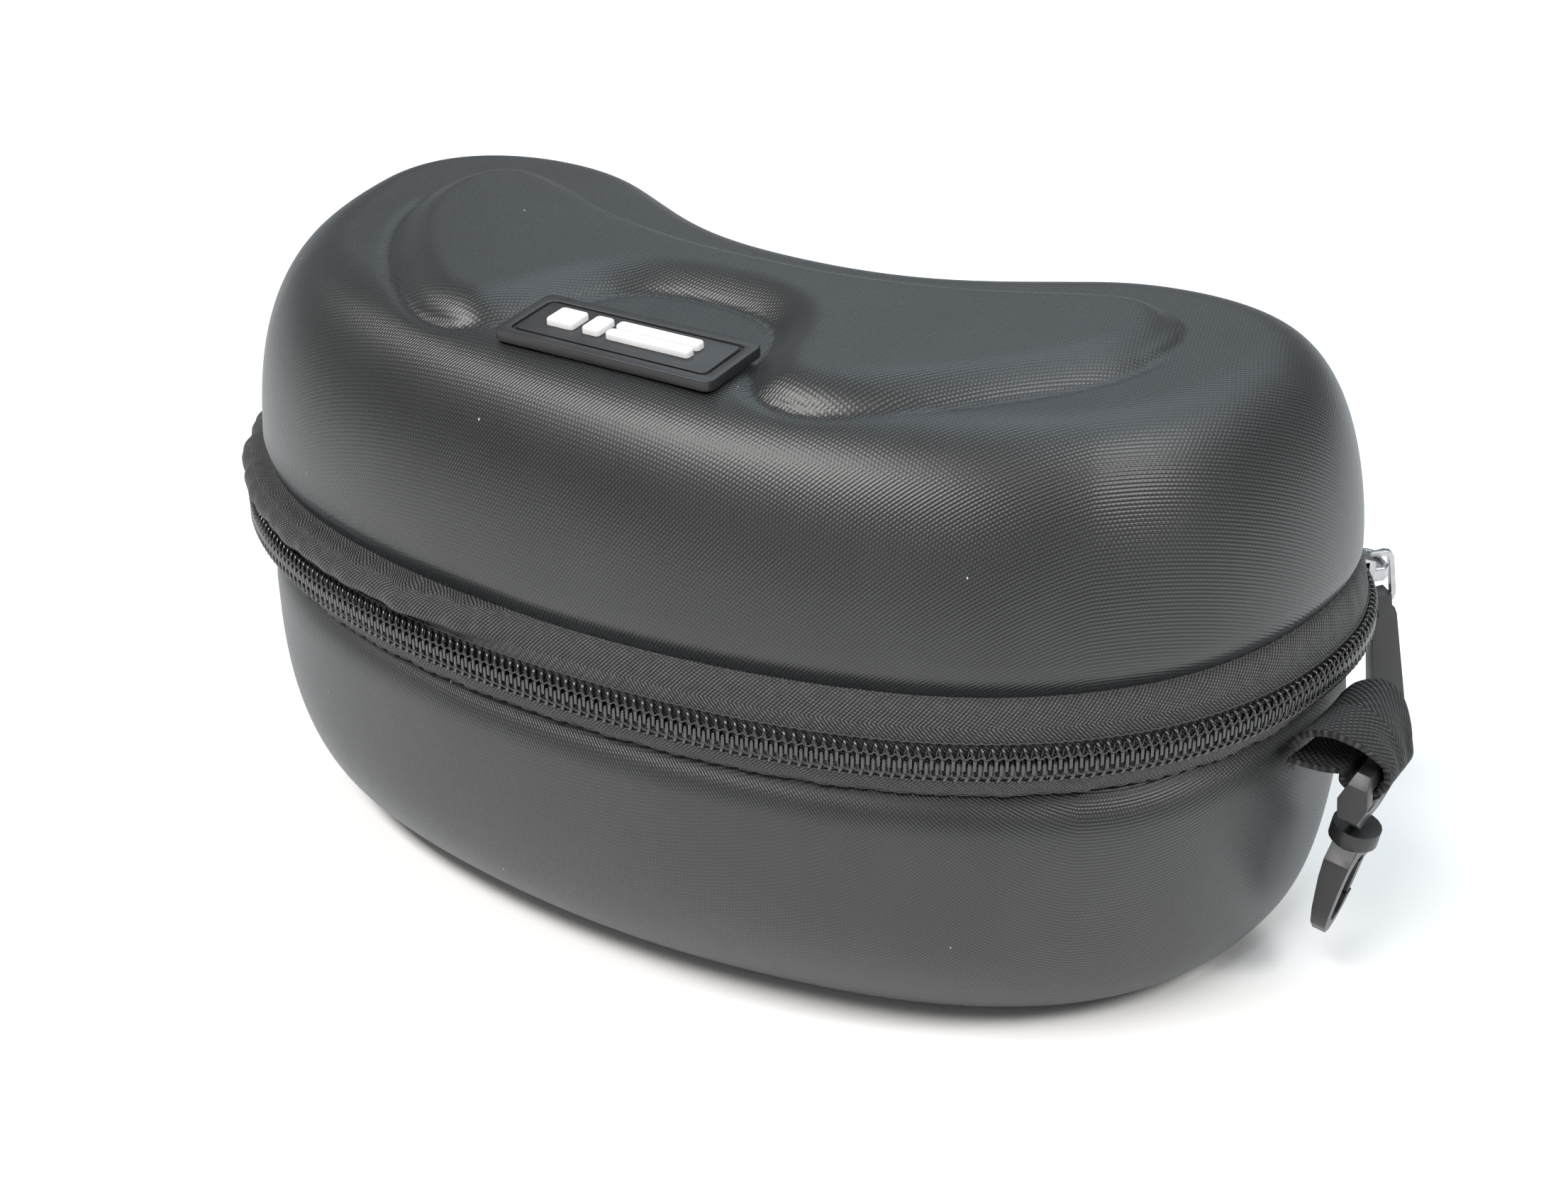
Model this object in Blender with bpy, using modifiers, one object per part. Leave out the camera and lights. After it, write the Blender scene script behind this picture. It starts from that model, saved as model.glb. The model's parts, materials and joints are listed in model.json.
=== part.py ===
"""Hard zip case with a bean-shaped plan.

A moulded base and lid are joined by a coil zip round the front and a fabric hinge round the back.
A rubber badge sits on the lid, and a swivel snap hook hangs from a web loop on the right end.
Metres, +Z up, long axis on X, convex front towards -Y.
"""
import math

import bmesh
import bpy
from mathutils import Matrix, Vector
from mathutils.geometry import interpolate_bezier

# ---------------------------------------------------------------- driving dimensions
CASE_X = -0.0056            # the case's middle, from the middle of the whole object's box
CASE_Y = 0.0011
ZIP_Z = 0.0570              # height of the zip line above the resting face

FRONT = Vector((0.0, -0.0552))      # plan outline of the walls, right half
SIDE = Vector((0.0990, 0.0183))
BACK = Vector((0.0635, 0.0552))
NECK = Vector((0.0, 0.0345))
FRONT_PULL, SIDE_PULL_FRONT = 0.0913, 0.0202
SIDE_PULL_BACK, BACK_PULL_SIDE = 0.0222, 0.0202
BACK_PULL_NECK, NECK_PULL = 0.0260, 0.0320

LOBE_X, LOBE_Y = 0.0580, 0.0060     # centre of each lobe, where the roof's ridge ends
RIDGE_STEPS = 7                     # columns of faces along half of the ridge
FAN_STEPS = 12                      # columns of faces round one lobe

LID_RIM, LID_TOP = 0.0095, 0.0469   # above the zip line
BASE_RIM = -0.0070
LID_SHOULDER = (0.0204, 0.0178, 0.0216)     # how far the rounding reaches in: front, ends, back
BASE_SHOULDER = (0.0290, 0.0208, 0.0290)
LID_ROUNDNESS = (2.42, 2.00, 2.00)          # exponents of the superellipses: 2 is a plain ellipse
BASE_ROUNDNESS = (2.80, 3.20, 2.90)

SHELL_THICK = 0.0032
LINING_THICK = 0.0005
LINING_GAP = 0.0006
LINING_DROP = 0.0010                # how far each lining stops short of its rim
BINDING_INSET, BINDING_THICK = 0.0059, 0.0008
BINDING_OVER, BINDING_DOWN = 0.0008, 0.0065     # past the rim, and down the inside of the shell

TAPE_THICK = 0.0006
FACE_INSET = -0.0014                # where the tapes stand behind the coil
HIDDEN_INSET = 0.0051               # where the tapes run up and down inside the rims
TAPE_END = 15.9                     # columns, counted from the middle of the front
CHAIN_END = 15.2
SLIDER_AT = 14.5
COIL_OUT, COIL_IN = -0.0034, -0.0020
COIL_HALF_WIDTH = 0.0029
STOP_LENGTH, STOP_THICK = 0.0026, 0.0016

SLIDER_LENGTH, SLIDER_HALF = 0.0105, 0.0041
CROWN_WIDTH, CROWN_RISE = 0.0024, 0.0034
LINK_LENGTH, LINK_WIDTH, LINK_WIRE, LINK_DROP = 0.0100, 0.0052, 0.0009, -0.0026
GRIP_LENGTH, GRIP_THICK = 0.0212, 0.0030
PULLER_TILT = math.radians(9)       # how far out from the wall the puller hangs

BADGE_SIZE = Vector((0.0400, 0.0150, 0.0018))
BADGE_Y, BADGE_TILT = -0.0326, math.radians(4.0)
BADGE_LIFT = 0.0004                 # of its underside over the roof's level
BADGE_BORDER, GROOVE_WIDTH, GROOVE_DEPTH = 0.0024, 0.0006, 0.0006
PLATEAU_RISE = 0.0038

WEB_WIDTH, WEB_THICK = 0.0200, 0.0012
WEB_Y = 0.0114                      # middle of the web where it is sewn under the rim
WEB_SLANT = 0.0008                  # how far its loop lies behind that
WEB_GATHER = 0.54                   # share of its width that is bunched up at the bar
EYE_BAR_X, EYE_BAR_Y, EYE_BAR_Z = 0.1098, 0.0118, -0.0138
HOOK_SWING = math.radians(10)       # the hook hangs with its nose in towards the case
SWIVEL_DROP = -0.0125               # from the bar down to the swivel's collar
NOSE_DROP = -0.0213                 # from there down to the hook's nose
HOOK_THICK, HOOK_HALF, WINDOW_HALF = 0.0044, 0.0065, 0.0034
STEM_RADIUS, PIN_RADIUS, PIVOT_GAP = 0.0009, 0.0005, 0.0003
GATE_PIN_Y, GATE_PIN_Z = 0.0048, -0.0058
GATE_TOP, GATE_END = -0.0080, -0.0156

ACROSS_Y = Matrix(((0, 0, 1, 0), (1, 0, 0, 0), (0, 1, 0, 0), (0, 0, 0, 1)))   # an outline's XY to YZ
FACING_Y = Matrix(((1, 0, 0, 0), (0, 0, -1, 0), (0, 1, 0, 0), (0, 0, 0, 1)))  # an outline's XY to XZ
ALONG_X = Matrix.Rotation(math.pi / 2, 4, 'Y')                                # a cylinder's Z to X


# ---------------------------------------------------------------- scene helpers
def clear_scene():
    for obj in list(bpy.data.objects):
        bpy.data.objects.remove(obj)


def make_collection(name):
    collection = bpy.data.collections.new(name)
    bpy.context.scene.collection.children.link(collection)
    return collection


def make_material(name, color, roughness, metallic=0.0):
    material = bpy.data.materials.new(name)
    material.use_nodes = True
    shader = material.node_tree.nodes["Principled BSDF"]
    shader.inputs["Base Color"].default_value = (*color, 1.0)
    shader.inputs["Roughness"].default_value = roughness
    shader.inputs["Metallic"].default_value = metallic
    return material


def add_object(name, mesh, material, collection, location=(0.0, 0.0, 0.0), parent=None):
    obj = bpy.data.objects.new(name, mesh)
    collection.objects.link(obj)
    obj.location = location
    obj.parent = parent
    if material is not None:
        mesh.materials.append(material)
    return obj


def add_empty(name, location, collection, parent=None, rotation=(0.0, 0.0, 0.0)):
    empty = bpy.data.objects.new(name, None)
    collection.objects.link(empty)
    empty.location = location
    empty.rotation_euler = rotation
    empty.parent = parent
    return empty


def finish_mesh(name, bm):
    bmesh.ops.remove_doubles(bm, verts=bm.verts, dist=0.00001)
    mesh = bpy.data.meshes.new(name)
    bm.to_mesh(mesh)
    bm.free()
    mesh.shade_smooth()
    mesh.set_sharp_from_angle(angle=math.radians(35))
    return mesh


def as_cutter(obj):
    obj.hide_render = True
    obj.display_type = 'WIRE'


def add_boolean(obj, other, operation):
    modifier = obj.modifiers.new(operation.title(), 'BOOLEAN')
    modifier.operation = operation
    modifier.solver = 'EXACT'
    modifier.object = other
    as_cutter(other)


def add_bevel(obj, width, segments=1):
    modifier = obj.modifiers.new("Bevel", 'BEVEL')
    modifier.width = width
    modifier.segments = segments
    modifier.limit_method = 'ANGLE'
    modifier.angle_limit = math.radians(40)


def box_mesh(name, size, centre=(0.0, 0.0, 0.0)):
    bm = bmesh.new()
    bmesh.ops.create_cube(bm, size=1.0)
    bmesh.ops.scale(bm, vec=size, verts=bm.verts)
    bmesh.ops.translate(bm, vec=centre, verts=bm.verts)
    return finish_mesh(name, bm)


def cylinder_mesh(name, radius, depth, segments=20, matrix=Matrix()):
    bm = bmesh.new()
    bmesh.ops.create_cone(bm, cap_ends=True, segments=segments, radius1=radius, radius2=radius,
                          depth=depth, matrix=matrix)
    return finish_mesh(name, bm)


def extruded_outline(name, loops, thickness, matrix):
    """A flat outline, with any holes, drawn in XY, extruded by thickness and turned by matrix."""
    curve = bpy.data.curves.new(name, 'CURVE')
    curve.dimensions = '2D'
    curve.fill_mode = 'BOTH'
    curve.extrude = thickness / 2
    for loop in loops:
        spline = curve.splines.new('POLY')
        spline.points.add(len(loop) - 1)
        for point, (x, y) in zip(spline.points, loop):
            point.co = (x, y, 0.0, 1.0)
        spline.use_cyclic_u = True
    guide = bpy.data.objects.new(name, curve)
    bpy.context.scene.collection.objects.link(guide)
    graph = bpy.context.evaluated_depsgraph_get()
    mesh = bpy.data.meshes.new_from_object(guide.evaluated_get(graph))
    bpy.data.objects.remove(guide)
    bpy.data.curves.remove(curve)
    bm = bmesh.new()
    bm.from_mesh(mesh)
    bpy.data.meshes.remove(mesh)
    bmesh.ops.transform(bm, matrix=matrix, verts=bm.verts)
    bmesh.ops.remove_doubles(bm, verts=bm.verts, dist=0.00001)
    bmesh.ops.recalc_face_normals(bm, faces=bm.faces)
    return finish_mesh(name, bm)


# ---------------------------------------------------------------- the plan outline
def bezier(start, start_handle, end_handle, end, points=16):
    return interpolate_bezier(start.to_3d(), start_handle.to_3d(), end_handle.to_3d(), end.to_3d(), points)


def right_outline():
    """Fine points along the right half of the walls' plan, from the front round to the neck."""
    along_x, along_y = Vector((1.0, 0.0)), Vector((0.0, 1.0))
    stretches = (
        bezier(FRONT, FRONT + FRONT_PULL * along_x, SIDE - SIDE_PULL_FRONT * along_y, SIDE),
        bezier(SIDE, SIDE + SIDE_PULL_BACK * along_y, BACK + BACK_PULL_SIDE * along_x, BACK),
        bezier(BACK, BACK - BACK_PULL_NECK * along_x, NECK + NECK_PULL * along_x, NECK),
    )
    points = [stretches[0][0].to_2d()]
    for stretch in stretches:
        points += [point.to_2d() for point in stretch[1:]]
    return points


def first_hit(origin, direction, outline):
    """The nearest point where a ray in the plan meets the outline."""
    best = None
    for a, b in zip(outline, outline[1:]):
        edge = b - a
        cross = direction.x * edge.y - direction.y * edge.x
        if abs(cross) < 1e-12:
            continue
        gap = a - origin
        along_ray = (gap.x * edge.y - gap.y * edge.x) / cross
        along_edge = (gap.x * direction.y - gap.y * direction.x) / cross
        if along_ray > 0 and -1e-6 <= along_edge <= 1 + 1e-6 and (best is None or along_ray < best):
            best = along_ray
    return origin + direction * best


def ridge_point(x):
    middle = (FRONT.y + NECK.y) / 2
    return Vector((x, middle + (LOBE_Y - middle) * (x / LOBE_X) ** 2))


def ridge_normal(x):
    """Unit vector across the ridge, towards the back."""
    slope = 2 * (LOBE_Y - (FRONT.y + NECK.y) / 2) * x / LOBE_X ** 2
    return Vector((-slope, 1.0)).normalized()


def plan_columns():
    """(wall point, ridge point) pairs round the case, anticlockwise from the middle of the front."""
    outline = right_outline()
    lobe = ridge_point(LOBE_X)
    stations = [LOBE_X * step / RIDGE_STEPS for step in range(RIDGE_STEPS + 1)]
    front = [(first_hit(ridge_point(x), -ridge_normal(x), outline), ridge_point(x)) for x in stations[1:]]
    back = [(first_hit(ridge_point(x), ridge_normal(x), outline), ridge_point(x)) for x in stations[1:]]
    fan = []
    for step in range(1, FAN_STEPS):
        turn = Matrix.Rotation(math.pi * step / FAN_STEPS, 2)
        fan.append((first_hit(lobe, turn @ -ridge_normal(LOBE_X), outline), lobe))
    right = front + fan + back[::-1]
    left = [(Vector((-wall.x, wall.y)), Vector((-ridge.x, ridge.y))) for wall, ridge in right[::-1]]
    middle = ridge_point(0.0)
    return [(FRONT, middle)] + right + [(NECK, middle)] + left


COLUMNS = plan_columns()
COUNT = len(COLUMNS)


def inward_offset(index):
    """Plan vector that moves a wall point one metre square to the wall, into the case."""
    before = (COLUMNS[index][0] - COLUMNS[index - 1][0]).normalized()
    after = (COLUMNS[(index + 1) % COUNT][0] - COLUMNS[index][0]).normalized()
    normal = Vector((-(before + after).y, (before + after).x)).normalized()
    return normal / normal.dot(Vector((-after.y, after.x)))


INWARD = [inward_offset(index) for index in range(COUNT)]


def wall_place(column):
    """Wall point and inward offset at a column number, which may lie between two columns."""
    low = math.floor(column)
    part = column - low
    point = COLUMNS[low % COUNT][0].lerp(COLUMNS[(low + 1) % COUNT][0], part)
    inward = INWARD[low % COUNT].lerp(INWARD[(low + 1) % COUNT], part)
    return point, inward


def zip_frame(column):
    """Matrix at the zip line: X along it, anticlockwise, Y into the case, Z up."""
    point, inward = wall_place(column)
    inward = inward.normalized()
    along = Vector((inward.y, -inward.x))
    matrix = Matrix.Identity(4)
    matrix.col[0][:3] = (along.x, along.y, 0.0)
    matrix.col[1][:3] = (inward.x, inward.y, 0.0)
    matrix.translation = (point.x, point.y, 0.0)
    return matrix


# ---------------------------------------------------------------- lofted forms
def at_column(values, index):
    """Value at one column, mixed by the way its wall faces from those at the front, ends and back."""
    at_front, at_ends, at_back = values
    facing = INWARD[index].normalized()
    along_y = at_front if facing.y > 0 else at_back
    return along_y + (at_ends - along_y) * facing.x ** 2


def shoulder(roundness, share):
    """Inset and rise, both as shares, part way up a superellipse that starts square to the rim."""
    angle = math.pi / 2 * share
    power = 2 / roundness
    return 1 - max(math.cos(angle), 0.0) ** power, math.sin(angle) ** power


def moulding_mesh(name, rim, top, reach, roundness, steps, roof_steps):
    """Open surface from a rim height to a flat roof, or floor, that closes along the ridge."""
    bm = bmesh.new()
    edges = []
    for index, (wall, ridge) in enumerate(COLUMNS):
        edges.append(wall + (ridge - wall).normalized() * at_column(reach, index))
    rings = []
    for step in range(steps + 1):
        ring = []
        for index, (wall, ridge) in enumerate(COLUMNS):
            inset, rise = shoulder(at_column(roundness, index), step / steps)
            place = wall.lerp(edges[index], inset)
            ring.append(bm.verts.new((place.x, place.y, rim + (top - rim) * rise)))
        rings.append(ring)
    for step in range(1, roof_steps + 1):
        ring = []
        for (wall, ridge), edge in zip(COLUMNS, edges):
            place = edge.lerp(ridge, step / roof_steps)
            ring.append(bm.verts.new((place.x, place.y, top)))
        rings.append(ring)
    for outer, inner in zip(rings, rings[1:]):
        for i in range(COUNT):
            j = (i + 1) % COUNT
            corners = (outer[i], outer[j], inner[j], inner[i])
            bm.faces.new(corners if top > rim else corners[::-1])
    return finish_mesh(name, bm)


def band_mesh(name, section, start, end):
    """A closed section of (inset, height) pairs, swept along the wall between two columns."""
    bm = bmesh.new()
    whole = end - start >= COUNT
    stops = [start] + [c for c in range(math.ceil(start + 0.02), math.floor(end - 0.02) + 1)] + [end]
    if whole:
        stops = list(range(COUNT))
    rings = []
    for column in stops:
        point, inward = wall_place(column)
        ring = []
        for inset, height in section:
            place = point + inward * inset
            ring.append(bm.verts.new((place.x, place.y, height)))
        rings.append(ring)
    pairs = list(zip(rings, rings[1:]))
    if whole:
        pairs.append((rings[-1], rings[0]))
    for first, second in pairs:
        for i in range(len(section)):
            j = (i + 1) % len(section)
            bm.faces.new((first[i], first[j], second[j], second[i]))
    if not whole:
        bm.faces.new(rings[0])
        bm.faces.new(rings[-1])
    bmesh.ops.recalc_face_normals(bm, faces=bm.faces)
    return finish_mesh(name, bm)


def thick_path(path, thickness):
    """Closed section round an open path of (inset, height) pairs."""
    points = [Vector(pair) for pair in path]
    sides = []
    for i, point in enumerate(points):
        before = (point - points[i - 1]).normalized() if i else None
        after = (points[i + 1] - point).normalized() if i < len(points) - 1 else None
        run = ((before or after) + (after or before)).normalized()
        normal = Vector((-run.y, run.x))
        edge = before or after
        reach = thickness / 2 / normal.dot(Vector((-edge.y, edge.x)))
        sides.append((point + normal * reach, point - normal * reach))
    return [side[0][:] for side in sides] + [side[1][:] for side in sides[::-1]]


# ---------------------------------------------------------------- materials and frame
def make_materials():
    return {
        "cover": make_material("cover_fabric", (0.035, 0.038, 0.041), 0.62),
        "lining": make_material("lining_fabric", (0.022, 0.022, 0.023), 0.85),
        "binding": make_material("binding_fabric", (0.015, 0.015, 0.016), 0.80),
        "tape": make_material("woven_tape", (0.020, 0.020, 0.021), 0.75),
        "coil": make_material("nylon_coil", (0.012, 0.012, 0.013), 0.30),
        "rubber": make_material("badge_rubber", (0.018, 0.018, 0.019), 0.45),
        "motif": make_material("white_rubber", (0.800, 0.800, 0.800), 0.50),
        "metal": make_material("bright_metal", (0.620, 0.620, 0.630), 0.25, metallic=1.0),
        "plastic": make_material("black_plastic", (0.016, 0.016, 0.017), 0.35),
    }


# ---------------------------------------------------------------- mouldings
def solidify(obj, thickness):
    modifier = obj.modifiers.new("Thickness", 'SOLIDIFY')
    modifier.thickness = thickness
    modifier.offset = -1.0
    modifier.use_even_offset = True


def sink(obj, depth):
    modifier = obj.modifiers.new("Inside the shell", 'DISPLACE')
    modifier.strength = -depth
    modifier.mid_level = 0.0


def lens_plateau_outline():
    """Plan of the raised goggle-shaped field: two lenses, a bridge and an arched nose notch."""
    right = [
        Vector((0.0, -0.0080)), Vector((0.0090, -0.0092)), Vector((0.0150, -0.0130)),
        Vector((0.0185, -0.0195)), Vector((0.0215, -0.0290)), Vector((0.0265, -0.0360)),
        Vector((0.0345, -0.0366)), Vector((0.0435, -0.0320)), Vector((0.0560, -0.0200)),
        Vector((0.0660, -0.0055)), Vector((0.0697, 0.0060)), Vector((0.0697, 0.0155)),
        Vector((0.0660, 0.0220)), Vector((0.0590, 0.0246)), Vector((0.0500, 0.0220)),
        Vector((0.0340, 0.0148)), Vector((0.0160, 0.0102)), Vector((0.0, 0.0092)),
    ]
    left = [Vector((-point.x, point.y)) for point in right[-2:0:-1]]
    return [point[:] for point in right + left]


def lid_drop(point):
    """How far the lid's outer surface has fallen below its roof at a place in the plan."""
    nearest = min(range(COUNT), key=lambda index: (point - COLUMNS[index][0]).length)
    inset = (point - COLUMNS[nearest][0]).length / at_column(LID_SHOULDER, nearest)
    roundness = at_column(LID_ROUNDNESS, nearest)
    short = max(1 - inset, 0.0)
    return (LID_TOP - LID_RIM) * (1 - (1 - short ** roundness) ** (1 / roundness))


def make_lid(mats, parts, cutters, lid):
    mesh = moulding_mesh("lid_shell", LID_RIM, LID_TOP, LID_SHOULDER, LID_ROUNDNESS, 8, 3)
    shell = add_object("lid_shell", mesh, mats["cover"], parts, parent=lid)
    solidify(shell, SHELL_THICK)
    sunk = SHELL_THICK / 2
    rise = Matrix.Translation((0.0, 0.0, LID_TOP + (PLATEAU_RISE - sunk) / 2))
    plateau = extruded_outline("lens_plateau", [lens_plateau_outline()], PLATEAU_RISE + sunk, rise)
    for vertex in plateau.vertices:
        vertex.co.z -= lid_drop(vertex.co.to_2d())
    raised = add_object("lens_plateau", plateau, mats["cover"], cutters, parent=lid)
    add_bevel(raised, 0.0022)
    add_boolean(shell, raised, 'UNION')

    rim = LID_RIM + LINING_DROP
    mesh = moulding_mesh("lid_lining", rim, LID_TOP, LID_SHOULDER, LID_ROUNDNESS, 4, 1)
    lining = add_object("lid_lining", mesh, mats["lining"], parts, parent=lid)
    sink(lining, SHELL_THICK + LINING_GAP)
    solidify(lining, LINING_THICK)
    make_binding("lid_binding", LID_RIM, 1, mats, parts, lid)


def make_base(mats, parts, base):
    mesh = moulding_mesh("base_shell", BASE_RIM, -ZIP_Z, BASE_SHOULDER, BASE_ROUNDNESS, 7, 2)
    shell = add_object("base_shell", mesh, mats["cover"], parts, parent=base)
    solidify(shell, SHELL_THICK)

    rim = BASE_RIM - LINING_DROP
    mesh = moulding_mesh("base_lining", rim, -ZIP_Z, BASE_SHOULDER, BASE_ROUNDNESS, 4, 1)
    lining = add_object("base_lining", mesh, mats["lining"], parts, parent=base)
    sink(lining, SHELL_THICK + LINING_GAP)
    solidify(lining, LINING_THICK)
    make_binding("base_binding", BASE_RIM, -1, mats, parts, base)


def make_binding(name, rim, side, mats, parts, body):
    """Strip over the sewn edges inside a rim; side is 1 for the lid, -1 for the base."""
    inner = BINDING_INSET + BINDING_THICK
    past, down = rim - side * BINDING_OVER, rim + side * BINDING_DOWN
    strip = [(BINDING_INSET, past), (inner, past), (inner, down), (BINDING_INSET, down)]
    mesh = band_mesh(name, strip, 0, COUNT)
    add_object(name, mesh, mats["binding"], parts, parent=body)


# ---------------------------------------------------------------- zip and hinge
def tape_path(rim, side):
    """Path of one tape from behind the coil to its hidden edge; side is 1 for the lid, -1 for the base."""
    return [
        (FACE_INSET, side * 0.0005),
        (FACE_INSET, side * 0.0032),
        (0.0004, rim - side * 0.0014),
        (HIDDEN_INSET - 0.0008, rim - side * 0.0008),
        (HIDDEN_INSET, rim + side * 0.0002),
        (HIDDEN_INSET, rim + side * 0.0045),
    ]


def make_zip(mats, parts, cutters, base, lid):
    neck = add_object("slider_neck_slot", box_mesh("slider_neck_slot", (0.0044, 0.0030, 0.0030)),
                      None, cutters, parent=base)
    neck.matrix_local = zip_frame(SLIDER_AT) @ Matrix.Translation((0.0036, FACE_INSET, 0.0))
    sides = (("upper", LID_RIM, 1, lid), ("lower", BASE_RIM, -1, base))
    for word, rim, side, body in sides:
        name = word + "_zip_tape"
        section = thick_path(tape_path(rim, side), TAPE_THICK)
        mesh = band_mesh(name, section, -TAPE_END, TAPE_END)
        tape = add_object(name, mesh, mats["tape"], parts, parent=body)
        add_boolean(tape, neck, 'DIFFERENCE')

        name = word + "_zip_coil"
        low, high = side * 0.00015, side * COIL_HALF_WIDTH
        crown = (COIL_OUT + COIL_IN) / 2
        section = [(COIL_IN, low), (COIL_OUT, low), (COIL_OUT, high - side * 0.0006), (crown, high),
                   (COIL_IN, high)]
        mesh = band_mesh(name, section, -CHAIN_END, SLIDER_AT + 0.12)
        add_object(name, mesh, mats["coil"], parts, parent=body)

        size = (STOP_LENGTH, STOP_THICK, 0.0022)
        make_stop(word + "_top_stop", size, CHAIN_END + 0.3, side * 0.0016, mats, parts, body)
    size = (0.0034, STOP_THICK, 2 * COIL_HALF_WIDTH + 0.0002)
    make_stop("bottom_stop", size, -CHAIN_END - 0.38, 0.0, mats, parts, base)


def make_stop(name, size, column, rise, mats, parts, body):
    """Block moulded over the chain's end at a column of the zip."""
    stop = add_object(name, box_mesh(name, size), mats["coil"], parts, parent=body)
    stop.matrix_local = zip_frame(column) @ Matrix.Translation((0.0, COIL_IN - STOP_THICK / 2, rise))
    add_bevel(stop, 0.0003)


def make_gusset(mats, parts, base):
    """One woven strip round the back, sewn inside both rims, which is the hinge."""
    path = [
        (HIDDEN_INSET, LID_RIM + 0.0045),
        (HIDDEN_INSET, LID_RIM + 0.0002),
        (HIDDEN_INSET - 0.0008, LID_RIM - 0.0008),
        (0.0004, LID_RIM - 0.0014),
        (-0.0010, 0.0040),
        (-0.0010, -0.0025),
        (0.0004, BASE_RIM + 0.0014),
        (HIDDEN_INSET - 0.0008, BASE_RIM + 0.0008),
        (HIDDEN_INSET, BASE_RIM - 0.0002),
        (HIDDEN_INSET, BASE_RIM - 0.0045),
    ]
    section = thick_path(path, TAPE_THICK)
    mesh = band_mesh("hinge_gusset", section, TAPE_END + 0.1, COUNT - TAPE_END - 0.1)
    add_object("hinge_gusset", mesh, mats["tape"], parts, parent=base)


# ---------------------------------------------------------------- slider and puller
def make_slider(mats, parts, cutters, base):
    """Slider in the zip's own frame: X along the zip, -Y out of the case, Z up."""
    carrier = add_empty("slider_carrier", (0.0, 0.0, 0.0), parts, parent=base)
    carrier.matrix_local = zip_frame(SLIDER_AT)
    plate_out, plate_in = COIL_OUT - 0.0014, COIL_OUT - 0.0003
    flange_in = COIL_IN - 0.0003
    half, lip = SLIDER_HALF, COIL_HALF_WIDTH + 0.0003
    channel = [(plate_out, -half + 0.0008), (flange_in, -half), (flange_in, -lip), (plate_in, -lip),
               (plate_in, lip), (flange_in, lip), (flange_in, half), (plate_out, half - 0.0008)]
    mesh = extruded_outline("slider_body", [channel], SLIDER_LENGTH, ACROSS_Y)
    body = add_object("slider_body", mesh, mats["metal"], parts, parent=carrier)
    joined = (
        ("slider_post", (0.0022, 0.0044, 0.0018), (0.0036, plate_in + 0.0018, 0.0)),
        ("slider_back_plate", (0.0095, 0.0010, 0.0056), (0.0, FACE_INSET + TAPE_THICK / 2 + 0.0009, 0.0)),
    )
    for name, size, place in joined:
        piece = add_object(name, box_mesh(name, size), None, cutters, place, parent=carrier)
        add_boolean(body, piece, 'UNION')

    foot = plate_out - 0.0003
    top, wire = foot - CROWN_RISE, 0.0010
    outer = [(-0.0040, foot), (-0.0040, top + 0.0012), (-0.0028, top), (0.0028, top),
             (0.0040, top + 0.0012), (0.0040, foot)]
    inner = [(0.0040 - wire, foot), (0.0040 - wire, top + 0.0017), (0.0023, top + wire),
             (-0.0023, top + wire), (wire - 0.0040, top + 0.0017), (wire - 0.0040, foot)]
    mesh = extruded_outline("slider_crown", [outer + inner], CROWN_WIDTH, Matrix())
    add_object("slider_crown", mesh, mats["metal"], parts, parent=carrier)
    make_puller(foot - 0.0029, mats, parts, cutters, carrier)


def make_puller(out, mats, parts, cutters, carrier):
    """Wire link through the crown, and a grip whose sleeve turns on the link's lower bar."""
    swing = add_empty("puller_swing", (0.0, out, 0.0), parts, carrier, rotation=(-PULLER_TILT, 0.0, 0.0))
    ring = rounded_box(LINK_WIDTH, LINK_LENGTH, 0.0014)
    hole = rounded_box(LINK_WIDTH - 2 * LINK_WIRE, LINK_LENGTH - 2 * LINK_WIRE, 0.0010)
    lower = Matrix.Translation((0.0, 0.0, LINK_DROP)) @ ACROSS_Y
    mesh = extruded_outline("puller_link", [ring, hole], 0.0012, lower)
    add_object("puller_link", mesh, mats["metal"], parts, parent=swing)

    bar_drop = LINK_DROP - (LINK_LENGTH - LINK_WIRE) / 2
    hang = add_empty("grip_swing", (0.0, 0.0, bar_drop), parts, parent=swing)
    end = -GRIP_LENGTH
    right = [(0.0020, end), (0.0029, end + 0.0016), (0.0022, -0.0024), (0.0019, -0.0012)]
    outline = [(-x, z) for x, z in right[::-1]] + right
    mesh = extruded_outline("puller_grip", [outline], GRIP_THICK, ACROSS_Y)
    grip = add_object("puller_grip", mesh, mats["plastic"], parts, parent=hang)
    block = box_mesh("grip_sleeve", (0.0036, 0.0026, 0.0040), (0.0, 0.0, -0.0002))
    add_boolean(grip, add_object("grip_sleeve", block, None, cutters, parent=hang), 'UNION')
    along_bar = Matrix.Rotation(math.pi / 2, 4, 'X')
    hollow = cylinder_mesh("sleeve_bore", 0.0011, 0.0040, 12, along_bar)
    add_boolean(grip, add_object("sleeve_bore", hollow, None, cutters, parent=hang), 'DIFFERENCE')


def rounded_box(width, height, radius, steps=2):
    """Outline of a rectangle with round corners, centred on the origin, anticlockwise."""
    points = []
    for quarter, (sx, sy) in enumerate(((1, -1), (1, 1), (-1, 1), (-1, -1))):
        centre = Vector((sx * (width / 2 - radius), sy * (height / 2 - radius)))
        for step in range(steps + 1):
            angle = math.pi / 2 * (quarter - 1 + step / steps)
            points.append((centre.x + radius * math.cos(angle), centre.y + radius * math.sin(angle)))
    return points


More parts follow.
